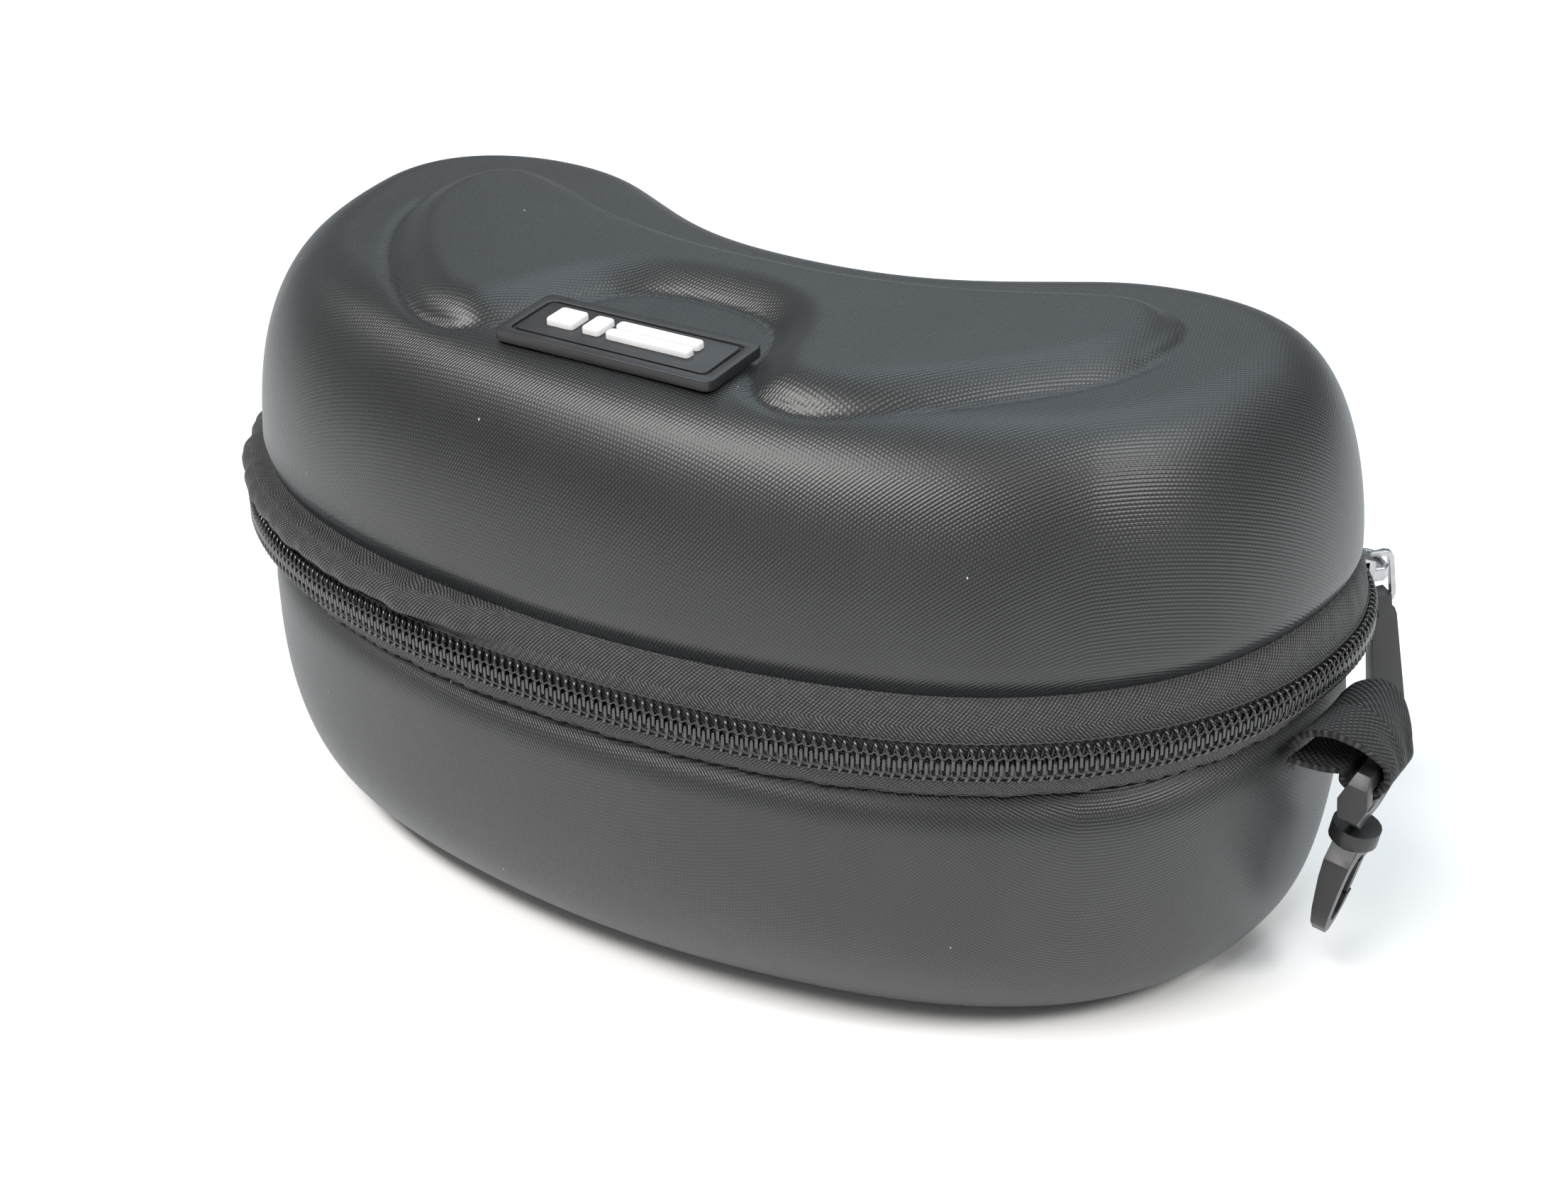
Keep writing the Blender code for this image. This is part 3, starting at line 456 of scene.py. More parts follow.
COVER = cover_finish()
LINING = lining_finish()
BINDING = herringbone_finish("binding_fabric", 0.0005, 0.0030,
                             (0.006, 0.006, 0.006), (0.030, 0.030, 0.031), 0.2)
TAPE = herringbone_finish("woven_tape", 0.00066, 0.0048,
                          (0.0012, 0.0012, 0.0013), (0.130, 0.130, 0.132), 0.08)
WEBBING = herringbone_finish("webbing", 0.0011, 0.0100,
                             (0.0012, 0.0012, 0.0013), (0.055, 0.055, 0.056), 0.08)
THREAD = thread_finish()
NYLON = plastic_finish("nylon_coil",
                       (0.008, 0.008, 0.009), (0.020, 0.021, 0.022),
                       0.22, 0.0002, 0.00001, 0.9)
RUBBER = plastic_finish("badge_rubber",
                        (0.010, 0.010, 0.011), (0.024, 0.024, 0.026),
                        0.42, 0.00015, 0.00003)
WHITE = plastic_finish("white_rubber",
                       (0.66, 0.67, 0.68), (0.80, 0.80, 0.80),
                       0.48, 0.0002, 0.00002)
PLASTIC = plastic_finish("black_plastic",
                         (0.009, 0.009, 0.010), (0.022, 0.022, 0.024),
                         0.36, 0.00018, 0.00003)
METAL = metal_finish()


# ---------------------------------------------------------------- mouldings
def ridge_places(x):
    """Point and unit normal across the ridge that the roof closes on."""
    middle = (FRONT.y + NECK.y) / 2
    point = np.array((x, middle + (LOBE.y - middle) * (x / LOBE.x) ** 2))
    slope = 2 * (LOBE.y - middle) * x / LOBE.x ** 2
    normal = np.array((-slope, 1.0))
    return point, normal / np.linalg.norm(normal)


def first_hit(origin, direction):
    """The nearest point where a ray in the plan meets the wall."""
    after = np.roll(OUTLINE, -1, axis=0)
    edges, gaps = after - OUTLINE, OUTLINE - origin
    cross = direction[0] * edges[:, 1] - direction[1] * edges[:, 0]
    cross = np.where(np.abs(cross) < 1e-12, 1e-12, cross)
    along_ray = (gaps[:, 0] * edges[:, 1] - gaps[:, 1] * edges[:, 0]) / cross
    along_edge = (gaps[:, 0] * direction[1] - gaps[:, 1] * direction[0]) / cross
    good = (along_ray > 0) & (along_edge >= -1e-6) & (along_edge <= 1 + 1e-6)
    return origin + direction * along_ray[good].min()


def plan_columns():
    """Wall points and ridge points round the case, anticlockwise from the middle of the front."""
    front, back, fan = [], [], []
    for step in range(1, RIDGE_STEPS + 1):
        point, normal = ridge_places(LOBE.x * step / RIDGE_STEPS)
        front.append((first_hit(point, -normal), point))
        back.append((first_hit(point, normal), point))
    lobe, normal = ridge_places(LOBE.x)
    for step in range(1, FAN_STEPS):
        angle = math.pi * step / FAN_STEPS
        turn = np.array(((math.cos(angle), -math.sin(angle)), (math.sin(angle), math.cos(angle))))
        fan.append((first_hit(lobe, turn @ -normal), lobe))
    right = front + fan + back[::-1]
    flip = np.array((-1.0, 1.0))
    left = [(wall * flip, ridge * flip) for wall, ridge in right[::-1]]
    middle = ridge_places(0.0)[0]
    columns = [(np.array(FRONT), middle)] + right + [(np.array(NECK), middle)] + left
    return np.array([wall for wall, _ in columns]), np.array([ridge for _, ridge in columns])


WALLS, RIDGES = plan_columns()
_AROUND = np.roll(WALLS, -1, axis=0) - np.roll(WALLS, 1, axis=0)
_AROUND /= np.linalg.norm(_AROUND, axis=1, keepdims=True)
FACING = np.stack([-_AROUND[:, 1], _AROUND[:, 0]], axis=1)


def by_facing(values):
    """One value per column, mixed from those at the front, ends and back by the way the wall faces."""
    at_front, at_ends, at_back = values
    along_y = np.where(FACING[:, 1] > 0, at_front, at_back)
    return along_y + (at_ends - along_y) * FACING[:, 0] ** 2


def moulding_grid(rim, top, reach, roundness, sink=0.0, roll=0.0):
    """Rows of places from the rim to the ridge, and the flat cloth's coordinates at each of them."""
    inward = RIDGES - WALLS
    inward /= np.linalg.norm(inward, axis=1, keepdims=True)
    edges = WALLS + inward * by_facing(reach)[:, None]
    power = 2 / by_facing(roundness)
    rows = []
    for step in range(SHOULDER_ROWS + 1):
        angle = math.pi / 2 * (step / SHOULDER_ROWS) ** 0.9
        inset = 1 - max(math.cos(angle), 0.0) ** power
        rise = math.sin(angle) ** power
        plan = WALLS + (edges - WALLS) * inset[:, None]
        height = rim + (top - rim) * rise
        tuck = roll * np.clip(1 - np.abs(height - rim) / (2.2 * MM), 0, 1) ** 2
        rows.append(np.column_stack([plan + FACING * tuck[:, None], height]))
    for step in range(1, ROOF_ROWS + 1):
        plan = edges + (RIDGES - edges) * step / ROOF_ROWS
        rows.append(np.column_stack([plan, np.full(len(plan), top)]))
    grid = np.array(rows)
    if sink:
        grid -= surface_normals(grid, top > rim) * sink
    runs = np.linalg.norm(np.diff(grid[:SHOULDER_ROWS + 1], axis=0), axis=2)
    down = np.cumsum(runs[::-1], axis=0)[::-1]
    cloth = grid[..., :2].copy()
    cloth[:SHOULDER_ROWS] = edges - FACING * (down * 0.8)[..., None]
    return grid, cloth


def surface_normals(grid, lid):
    """Outward unit normals of a moulding's grid."""
    along = np.roll(grid, -1, axis=1) - np.roll(grid, 1, axis=1)
    up = np.gradient(grid, axis=0)
    normals = np.cross(along, up)
    normals[-1] = (0.0, 0.0, 1.0 if lid else -1.0)
    size = np.linalg.norm(normals, axis=2, keepdims=True)
    normals = normals / np.maximum(size, 1e-12)
    outward = -FACING[None, :, 0] * normals[..., 0] - FACING[None, :, 1] * normals[..., 1]
    away = outward + np.where(lid, normals[..., 2], -normals[..., 2])
    return normals * np.where(away < 0, -1.0, 1.0)[..., None]


def lens_outline():
    """Smooth plan of the raised goggle-shaped field: two lenses, a bridge and an arched nose notch."""
    right = np.array((
        (0.0, -8.0), (9.0, -9.2), (15.0, -13.0), (18.5, -19.5), (21.5, -29.0), (26.5, -36.0),
        (34.5, -36.6), (43.5, -32.0), (56.0, -20.0), (66.0, -5.5), (69.7, 6.0), (69.7, 15.5),
        (66.0, 22.0), (59.0, 24.6), (50.0, 22.0), (34.0, 14.8), (16.0, 10.2), (0.0, 9.2),
    )) * MM
    points = np.vstack([right, right[-2:0:-1] * (-1.0, 1.0)])
    before, after = np.roll(points, 1, axis=0), np.roll(points, -1, axis=0)
    beyond = np.roll(points, -2, axis=0)
    shares = np.arange(8)[:, None, None] / 8
    curve = (
        points + (after - before) * shares / 2
        + (before - 2.5 * points + 2 * after - beyond / 2) * shares ** 2
        + (1.5 * points - before / 2 - 1.5 * after + beyond / 2) * shares ** 3
    )
    return curve.transpose(1, 0, 2).reshape(-1, 2)


def signed_distance(places, loop):
    """Distance of each place from a closed outline, positive inside."""
    starts, ends = loop, np.roll(loop, -1, axis=0)
    edges = ends - starts
    best = np.full(len(places), np.inf)
    inside = np.zeros(len(places), bool)
    for start, end, edge in zip(starts, ends, edges):
        gap = places - start
        share = np.clip(gap @ edge / (edge @ edge), 0.0, 1.0)
        best = np.minimum(best, np.linalg.norm(gap - share[:, None] * edge, axis=1))
        crosses = (start[1] > places[:, 1]) != (end[1] > places[:, 1])
        if abs(edge[1]) > 1e-12:
            inside ^= crosses & (places[:, 0] < start[0] + (places[:, 1] - start[1]) * edge[0] / edge[1])
    return np.where(inside, best, -best)


def emboss_lid(grid):
    """Raises the goggle-shaped field: a sharp crease at its foot, a soft roll up to its top."""
    depth = signed_distance(grid[..., :2].reshape(-1, 2), lens_outline()).reshape(grid.shape[:2])
    share = np.clip((depth + 0.3 * MM) / (7.5 * MM), 0.0, 1.0)
    rise = PLATEAU_RISE * np.sin(share * math.pi / 2)
    back = ease(grid[..., 1], 2 * MM, 9 * MM)
    bead = 0.45 * MM * np.exp(-((depth - 0.6 * MM) / (0.7 * MM)) ** 2) * back
    foot = -0.50 * MM * np.exp(-((depth + 1.0 * MM) / (0.9 * MM)) ** 2) * (1 - back)
    return grid + surface_normals(grid, True) * (rise + bead + foot)[..., None]


def handled(grid, lid, amount):
    """Slight unevenness of a thermoformed shell."""
    x, y, z = grid[..., 0], grid[..., 1], grid[..., 2]
    waves = np.sin(x * 95 + 1.3) * np.sin(y * 120 + 0.4) + 0.6 * np.sin(z * 210 + x * 60)
    return grid + surface_normals(grid, lid) * (waves * amount)[..., None]


def make_covers():
    grid, cloth = moulding_grid(LID_RIM, LID_TOP, LID_SHOULDER, LID_ROUNDNESS, roll=0.9 * MM)
    grid = handled(emboss_lid(grid), True, 0.10 * MM)
    mesh = grid_mesh("lid_cover", grid, cloth, wrap=True)
    weld(mesh)
    lid = add_piece("lid_cover", mesh, COVER, "lid", ("lid_shell",))
    thicken(lid, FOAM_THICK)

    grid, cloth = moulding_grid(BASE_RIM, BASE_FLOOR, BASE_SHOULDER, BASE_ROUNDNESS, roll=0.9 * MM)
    body = handled(grid, False, 0.12 * MM)
    body[..., 2] = np.maximum(body[..., 2], BASE_FLOOR)
    mesh = grid_mesh("base_cover", body, cloth, wrap=True, flip=True)
    weld(mesh)
    base = add_piece("base_cover", mesh, COVER, "base", ("base_shell",))
    thicken(base, FOAM_THICK)


def make_linings():
    words = (("lid", LID_RIM, LID_TOP, LID_SHOULDER, LID_ROUNDNESS, 1),
             ("base", BASE_RIM, BASE_FLOOR, BASE_SHOULDER, BASE_ROUNDNESS, -1))
    for word, rim, top, reach, roundness, side in words:
        grid, cloth = moulding_grid(rim + side * 1.0 * MM, top, reach, roundness, sink=LINING_SINK)
        grid = handled(grid, side > 0, -0.18 * MM)
        mesh = grid_mesh(word + "_tricot", grid, cloth, wrap=True, flip=side < 0)
        weld(mesh)
        piece = add_piece(word + "_tricot", mesh, LINING, word, (word + "_lining",))
        thicken(piece, LINING_THICK)


# ---------------------------------------------------------------- swept tapes
def sweep_grid(stations, sections):
    """Places along the wall: sections[i] holds (inset, height) pairs at stations[i]."""
    places, inward = WALL.at(stations)
    plan = places[:, None, :] + inward[:, None, :] * sections[..., 0:1]
    return np.concatenate([plan, sections[..., 1:2]], axis=2)


def strip_coordinates(stations, sections):
    """The flat strip's coordinates: along it, and across it by its section's own length."""
    runs = np.linalg.norm(np.diff(sections, axis=1), axis=2)
    across = np.concatenate([np.zeros((len(sections), 1)), np.cumsum(runs, axis=1)], axis=1)
    return np.stack([np.broadcast_to(stations[:, None], across.shape), across], axis=2)


def smooth_section(pairs, steps=4):
    """A denser, rounder version of an open section, in metres, from pairs in millimetres."""
    points = np.array(pairs) * MM
    padded = np.vstack([2 * points[0] - points[1], points, 2 * points[-1] - points[-2]])
    made = []
    for p0, p1, p2, p3 in zip(padded, padded[1:], padded[2:], padded[3:]):
        for step in range(steps):
            t = step / steps
            made.append(0.5 * (2 * p1 + (p2 - p0) * t + (2 * p0 - 5 * p1 + 4 * p2 - p3) * t ** 2
                               + (3 * p1 - p0 - 3 * p2 + p3) * t ** 3))
    made.append(points[-1])
    return np.array(made)


UPPER_FLAT = smooth_section([(-1.4, 0.5), (-1.4, 2.0), (-1.4, 3.2), (-1.25, 4.5), (-0.9, 6.0), (-0.5, 7.4),
                             (0.2, 8.6), (1.2, 9.3), (2.2, 9.9), (3.4, 10.4)])
UPPER_RIDGED = smooth_section([(-1.4, 0.5), (-1.4, 2.0), (-1.3, 3.2), (-1.5, 4.0), (-3.0, 4.8), (-3.6, 6.0),
                               (-3.2, 7.4), (-1.6, 8.5), (0.2, 9.0), (2.2, 9.9)])
LOWER = smooth_section([(-1.4, -0.5), (-1.4, -2.0), (-1.35, -3.2), (-0.8, -4.6), (0.0, -6.0), (0.9, -6.9),
                        (2.2, -7.4), (3.4, -7.8), (4.4, -8.4)])
GUSSET = smooth_section([(3.4, -7.8), (2.2, -7.4), (0.9, -6.9), (-0.4, -5.4), (-1.1, -2.6), (-0.7, 0.6),
                         (-1.1, 4.4), (-0.4, 7.6), (0.9, 9.1), (2.2, 9.8), (3.4, 10.3)])


def folded(s):
    """How far the upper tape stands out as a rounded fold over the chain: along the left of the front."""
    return (1 - ease(s, -0.028, 0.004)) * (0.45 + 0.55 * ease(s, -0.175, -0.130))


def upper_sections(stations):
    """The upper tape's section at each station: a ridge at the left, flat at the right, slightly wavy."""
    share = (folded(stations) * (1 + 0.12 * smooth_noise(stations, 0.017, 3)))[:, None, None]
    sections = UPPER_FLAT + (UPPER_RIDGED - UPPER_FLAT) * share
    free = ease(sections[..., 1], 3.4 * MM, 6.5 * MM) * (1 - ease(sections[..., 1], 8.6 * MM, 9.8 * MM))
    sections[..., 0] += free * 0.28 * MM * smooth_noise(stations, 0.011, 5)[:, None]
    return sections


def lower_sections(stations):
    """The lower tape's section at each station, slightly wavy between its seams."""
    sections = np.repeat(LOWER[None], len(stations), axis=0)
    free = ease(-sections[..., 1], 3.4 * MM, 5.5 * MM) * (1 - ease(-sections[..., 1], 6.6 * MM, 7.4 * MM))
    sections[..., 0] += free * 0.25 * MM * smooth_noise(stations, 0.013, 9)[:, None]
    return sections


def stations_between(start, end, step):
    return np.linspace(start, end, max(int(abs(end - start) / step), 2))


def make_strip(name, stations, sections, material, body, stands_for):
    """A thin strip along the wall, and the (width, length) that it was cut to."""
    mesh = grid_mesh(name, sweep_grid(stations, sections), strip_coordinates(stations, sections))
    piece = add_piece(name, mesh, material, body, stands_for)
    thicken(piece, TAPE_THICK, 0.0)
    run = stations[-1] - stations[0]
    width = float(np.linalg.norm(np.diff(sections, axis=1), axis=2).sum(axis=1).mean())
    return piece, (width, float(run))


def make_tapes():
    stations = stations_between(-TAPE_S, TAPE_S, 0.8 * MM)
    piece, flat = make_strip("upper_tape", stations, upper_sections(stations), TAPE, "lid",
                             ("upper_zip_tape",))
    piece, flat = make_strip("lower_tape", stations, lower_sections(stations), TAPE, "base",
                             ("lower_zip_tape",))

    stations = stations_between(TAPE_S - 4 * MM, WALL.length - TAPE_S + 4 * MM, 1.5 * MM)
    sections = np.repeat(GUSSET[None], len(stations), axis=0)
    from_end = np.minimum(stations - stations[0], stations[-1] - stations)
    sections[..., 0] += 1.3 * MM * (1 - ease(from_end, 4.5 * MM, 7.5 * MM))[:, None]
    crumple = np.exp(-(sections[..., 1] / (4.5 * MM)) ** 2)
    sections[..., 0] += crumple * 0.35 * MM * smooth_noise(stations, 0.012, 13)[:, None]
    piece, flat = make_strip("hinge_cloth", stations, sections, TAPE, None, ("hinge_gusset",))
    apply_modifiers(piece)
    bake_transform(piece)


def make_bindings():
    stations = np.arange(0.0, WALL.length, 1.2 * MM)
    for word, rim, side in (("lid", LID_RIM, 1), ("base", BASE_RIM, -1)):
        pairs = [(4.5, 0.6), (4.9, -0.5), (5.8, -0.9), (6.6, -0.4), (6.8, 1.5), (6.75, 4.0), (6.6, 6.4)]
        section = smooth_section([(inset, rim / MM + side * height) for inset, height in pairs], 3)
        sections = np.repeat(section[None], len(stations), axis=0)
        grid = sweep_grid(stations, sections).transpose(1, 0, 2)
        cloth = strip_coordinates(stations, sections).transpose(1, 0, 2)
        mesh = grid_mesh(word + "_edge_binding", grid, cloth, wrap=True)
        piece = add_piece(word + "_edge_binding", mesh, BINDING, word,
                          (word + "_binding",))
        thicken(piece, 0.5 * MM, 0.0)


# ---------------------------------------------------------------- zip chain and stitching
def outside(s, depth, height):
    """Places at a depth outwards from the tapes' face, and a height."""
    places, inward = WALL.at(s)
    plan = places + inward * (TAPE_FACE - np.asarray(depth))[..., None]
    return np.column_stack([plan, height])


def coil_path(side, start, end):
    """One row of the coil: a loop round each tooth head, then back along the tape to the next."""
    turn = np.array((
        (2.85, 0.45, 0.00), (2.70, 0.95, 0.06), (2.20, 1.30, 0.18), (1.60, 1.35, 0.32), (0.90, 1.35, 0.40),
        (0.30, 1.35, 0.42), (-0.25, 1.30, 0.44), (-0.55, 0.95, 0.48), (-0.45, 0.50, 0.55),
        (0.20, 0.32, 0.66), (1.20, 0.30, 0.78), (2.20, 0.30, 0.90),
    ))
    count = int((end - start) / ZIP_PITCH)
    first = start if side > 0 else start + ZIP_PITCH / 2
    steps = np.arange(count)[:, None]
    s = (first + (steps + turn[:, 2]) * ZIP_PITCH).ravel()
    return outside(s, np.tile(turn[:, 1], count) * MM, side * np.tile(turn[:, 0], count) * MM)


def head_plates(side, start, end):
    """Vertices and faces of one row's tooth heads, where the wire is flattened to lock."""
    rings = np.array((
        (-0.66, 0.50), (-0.58, 0.86), (-0.40, 1.00), (1.10, 1.00), (1.28, 0.86), (1.36, 0.50),
    ))
    turn = np.arange(16) / 16 * 2 * math.pi
    across = HEAD_WIDE / 2 * np.sign(np.cos(turn)) * np.abs(np.cos(turn)) ** 0.45
    out = HEAD_DEEP / 2 * np.sign(np.sin(turn)) * np.abs(np.sin(turn)) ** 0.45
    count = int((end - start) / ZIP_PITCH)
    first = (start if side > 0 else start + ZIP_PITCH / 2) + HEAD_SHARE * ZIP_PITCH
    shape = (count, len(rings), len(turn))
    middles = (first + np.arange(count) * ZIP_PITCH)[:, None, None]
    s = np.broadcast_to(middles + rings[:, 1][None, :, None] * across, shape)
    depth = np.broadcast_to(HEAD_MIDDLE + rings[:, 1][None, :, None] * out, shape)
    height = np.broadcast_to(side * rings[:, 0][None, :, None] * MM, shape)
    one = grid_faces(len(rings), len(turn), wrap=True, flip=side > 0)
    size = len(rings) * len(turn)
    ends = [tuple(range(len(turn))), tuple(range(size - 1, size - len(turn) - 1, -1))]
    one += ends if side > 0 else [face[::-1] for face in ends]
    faces = [tuple(corner + head * size for corner in face) for head in range(count) for face in one]
    return outside(s.ravel(), depth.ravel(), height.ravel()), faces


def stitch_path(height, depth, swing, start, end):
    """A sewn row: the thread jogs up and down once for each tooth."""
    s = np.arange(start, end, ZIP_PITCH / 4)
    phase = 2 * math.pi * s / ZIP_PITCH
    return outside(s, depth + 0.10 * MM * np.cos(2 * phase), height + swing * np.sin(phase))


def make_chain():
    for word, side, body in (("upper", 1, "lid"), ("lower", -1, "base")):
        start, end = BOTTOM_S + 2 * MM, SLIDER_S + 1 * MM
        vertices, faces = tube_parts(coil_path(side, start, end), COIL_WIRE, 8)
        heads, head_faces = head_plates(side, start, end)
        faces += [tuple(corner + len(vertices) for corner in face) for face in head_faces]
        mesh = smooth_mesh(word + "_coil", np.vstack([vertices, heads]), faces)
        add_piece(word + "_coil", mesh, NYLON, body, (word + "_zip_coil",))
        rows = [stitch_path(side * 1.50 * MM, 1.58 * MM, 0.22 * MM, BOTTOM_S + 2 * MM, SLIDER_S - 4 * MM),
                stitch_path(side * 3.15 * MM, 0.10 * MM, 0.10 * MM, BOTTOM_S, SLIDER_S + 3 * MM)]
        mesh = tubes_mesh(word + "_zip_stitches", rows, ZIP_THREAD, 6)
        add_piece(word + "_zip_stitches", mesh, THREAD, body)


def dashes_along(sections_at, row, start, end):
    """Short stitches lying on a strip, along one row of its section."""
    paths = []
    for begin in np.arange(start, end - STITCH_LENGTH, STITCH_LENGTH + STITCH_GAP):
        s = np.linspace(begin, begin + STITCH_LENGTH, 6)
        section = sections_at(s)[:, row]
        bow = STITCH_LIFT * np.sin(np.linspace(0.15, math.pi - 0.15, 6))
        places, inward = WALL.at(s)
        plan = places + inward * (section[:, 0] - TAPE_THICK / 2 - bow)[:, None]
        paths.append(np.column_stack([plan, section[:, 1]]))
    return paths


def make_seams():
    seams = (
        ("upper_seam_stitches", upper_sections, UPPER_SEAM_ROW, "lid"),
        ("lower_seam_stitches", lower_sections, LOWER_SEAM_ROW, "base"),
    )
    for name, sections_at, row, body in seams:
        paths = dashes_along(sections_at, row, -TAPE_S, TAPE_S)
        add_piece(name, tubes_mesh(name, paths, SEAM_THREAD, 6), THREAD, body)


# ---------------------------------------------------------------- small rigid pieces
def refined(node, name, material, body, radius, shape=None):
    """The CAD node's shape with its edges rounded off, as a moulded or cast piece has them."""
    mesh = frame["nodes"][node].data.copy()
    mesh.name = name
    mesh.materials.clear()
    bm = bmesh.new()
    bm.from_mesh(mesh)
    bmesh.ops.remove_doubles(bm, verts=bm.verts, dist=0.00002)
    bmesh.ops.dissolve_limit(bm, angle_limit=math.radians(2), verts=bm.verts, edges=bm.edges)
    if shape is not None:
        shape(bm)
    bm.to_mesh(mesh)
    bm.free()
    mesh.shade_smooth()
    piece = add_piece(name, mesh, material, body, (node,))
    bevel = piece.modifiers.new("Bevel", 'BEVEL')
    bevel.width = radius
    bevel.segments = BEVEL_STEPS
    bevel.limit_method = 'ANGLE'
    bevel.angle_limit = BEVEL_ANGLE


def hook_axes(joint_name):
    """Matrix from the hook's own axes, X through its thickness and Z up its stem, to the frame."""
    up = Vector(JOINTS["hook_swivel"]["axis"]).normalized()
    across = Vector((0.0, 1.0, 0.0))
    matrix = Matrix.Identity(4)
    for column, axis in enumerate((across.cross(up), across, up)):
        matrix.col[column][:3] = axis
    matrix.translation = JOINTS[joint_name]["pos_m"]
    return matrix


def cut_across(bm, matrix, heights):
    """Adds edges across a mesh at heights up the hook, so that it can be shaped between them."""
    for height in heights:
        geometry = bm.verts[:] + bm.edges[:] + bm.faces[:]
        bmesh.ops.bisect_plane(bm, geom=geometry, dist=0.00001, plane_co=matrix @ Vector((0, 0, height)),
                               plane_no=matrix.to_3x3() @ Vector((0, 0, 1)))


def taper_hook(bm):
    """Hook and gate grow thinner and narrower towards the nose."""
    matrix = hook_axes("hook_swivel")
    cut_across(bm, matrix, [-height * MM for height in (5.0, 8.5, 11.0, 13.5, 16.5, 19.0)])
    back = matrix.inverted()
    for vertex in bm.verts:
        x, y, z = back @ vertex.co
        share = min(max((-4.0 * MM - z) / (17.3 * MM), 0.0), 1.0)
        vertex.co = matrix @ Vector((x * (1 - 0.52 * share), y * (1 - 0.30 * share ** 1.5), z))


def facet_eye(bm):
    """The eye's two limbs swell into six-sided plates, seen from the front."""
    matrix = hook_axes("hook_swing")
    cut_across(bm, matrix, [-3.7 * MM])
    back = matrix.inverted()
    for vertex in bm.verts:
        x, y, z = back @ vertex.co
        limb = min(max((abs(y) - 3.5 * MM) / (2.5 * MM), 0.0), 1.0)
        plate = 0.62 + 0.78 * max(1 - abs(z + 3.7 * MM) / (5.2 * MM), 0.0)
        vertex.co = matrix @ Vector((x * (0.9 + (plate - 0.9) * limb), y, z))


def make_small_pieces():
    shapes = {"hook_body": taper_hook, "hook_gate": taper_hook, "hook_eye": facet_eye}
    pieces = (
        ("badge", "badge_patch", RUBBER, "badge_rubber", "lid", 0.22),
        ("slider_body", "slider_casting", METAL, "bright_metal", "slider", 0.30),
        ("slider_crown", "slider_bridge", METAL, "bright_metal", "slider", 0.28),
        ("puller_link", "puller_wire", METAL, "bright_metal", "puller_link", 0.30),
        ("puller_grip", "puller_tab", PLASTIC, "black_plastic", "puller_grip", 0.45),
        ("hook_eye", "hook_loop", PLASTIC, "black_plastic", "hook_eye", 0.55),
        ("hook_body", "hook_frame", PLASTIC, "black_plastic", "hook", 0.60),
        ("hook_gate", "hook_leaf", PLASTIC, "black_plastic", "gate", 0.35),
        ("gate_pin", "hook_pin", METAL, "bright_metal", "gate", 0.10),
        ("upper_top_stop", "upper_stop_block", NYLON, "nylon_coil", "lid", 0.30),
        ("lower_top_stop", "lower_stop_block", NYLON, "nylon_coil", "base", 0.30),
        ("bottom_stop", "chain_end_block", NYLON, "nylon_coil", "base", 0.30),
    )
    for node, name, material, slot, body, radius in pieces:
        refined(node, name, material, body, radius * MM, shapes.get(node))


def rounded_bar(length, width, radius, steps=5):
    """Outline of a bar with round corners, centred on the origin, anticlockwise."""
    points = []
    for quarter, (along, across) in enumerate(((1, -1), (1, 1), (-1, 1), (-1, -1))):
        for step in range(steps + 1):
            angle = math.pi / 2 * (quarter - 1 + step / steps)
            points.append((along * (length / 2 - radius) + radius * math.cos(angle),
                           across * (width / 2 - radius) + radius * math.sin(angle)))
    return points


def make_badge_bars():
    """Plain raised bars in white rubber, where the badge carries its mark."""
    low, high = (Vector(corner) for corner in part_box("badge_motif"))
    middle = (low + high) / 2
    tilt = math.radians(4.0)
    bars = ((-11.0, 0.0, 5.0, 4.8), (-5.2, 0.0, 3.2, 4.8), (5.2, 1.40, 15.2, 2.0), (5.2, -1.40, 15.2, 2.0))
    bm = bmesh.new()
    for x, y, length, width in bars:
        outline = rounded_bar(length * MM, width * MM, 0.6 * MM)
        rings = []
        for inset, rise in ((0.0, -0.6), (0.0, 0.25), (0.10, 0.45), (0.30, 0.55)):
            ring = []
            for px, py in outline:
                shrink_x, shrink_y = 1 - 2 * inset / length, 1 - 2 * inset / width
                place = Vector((x * MM + px * shrink_x, y * MM + py * shrink_y, rise * MM))
                ring.append(bm.verts.new(Matrix.Rotation(tilt, 3, 'X') @ place + middle))
            rings.append(ring)
        for lower, upper in zip(rings, rings[1:]):
            for i in range(len(lower)):
                j = (i + 1) % len(lower)
                bm.faces.new((lower[i], lower[j], upper[j], upper[i]))
        bm.faces.new(rings[-1])
        bm.faces.new(rings[0][::-1])
    mesh = bpy.data.meshes.new("badge_bars")
    bm.to_mesh(mesh)
    bm.free()
    mesh.shade_smooth()
    mesh.set_sharp_from_angle(angle=math.radians(50))
    add_piece("badge_bars", mesh, WHITE, "lid", ("badge_motif",))


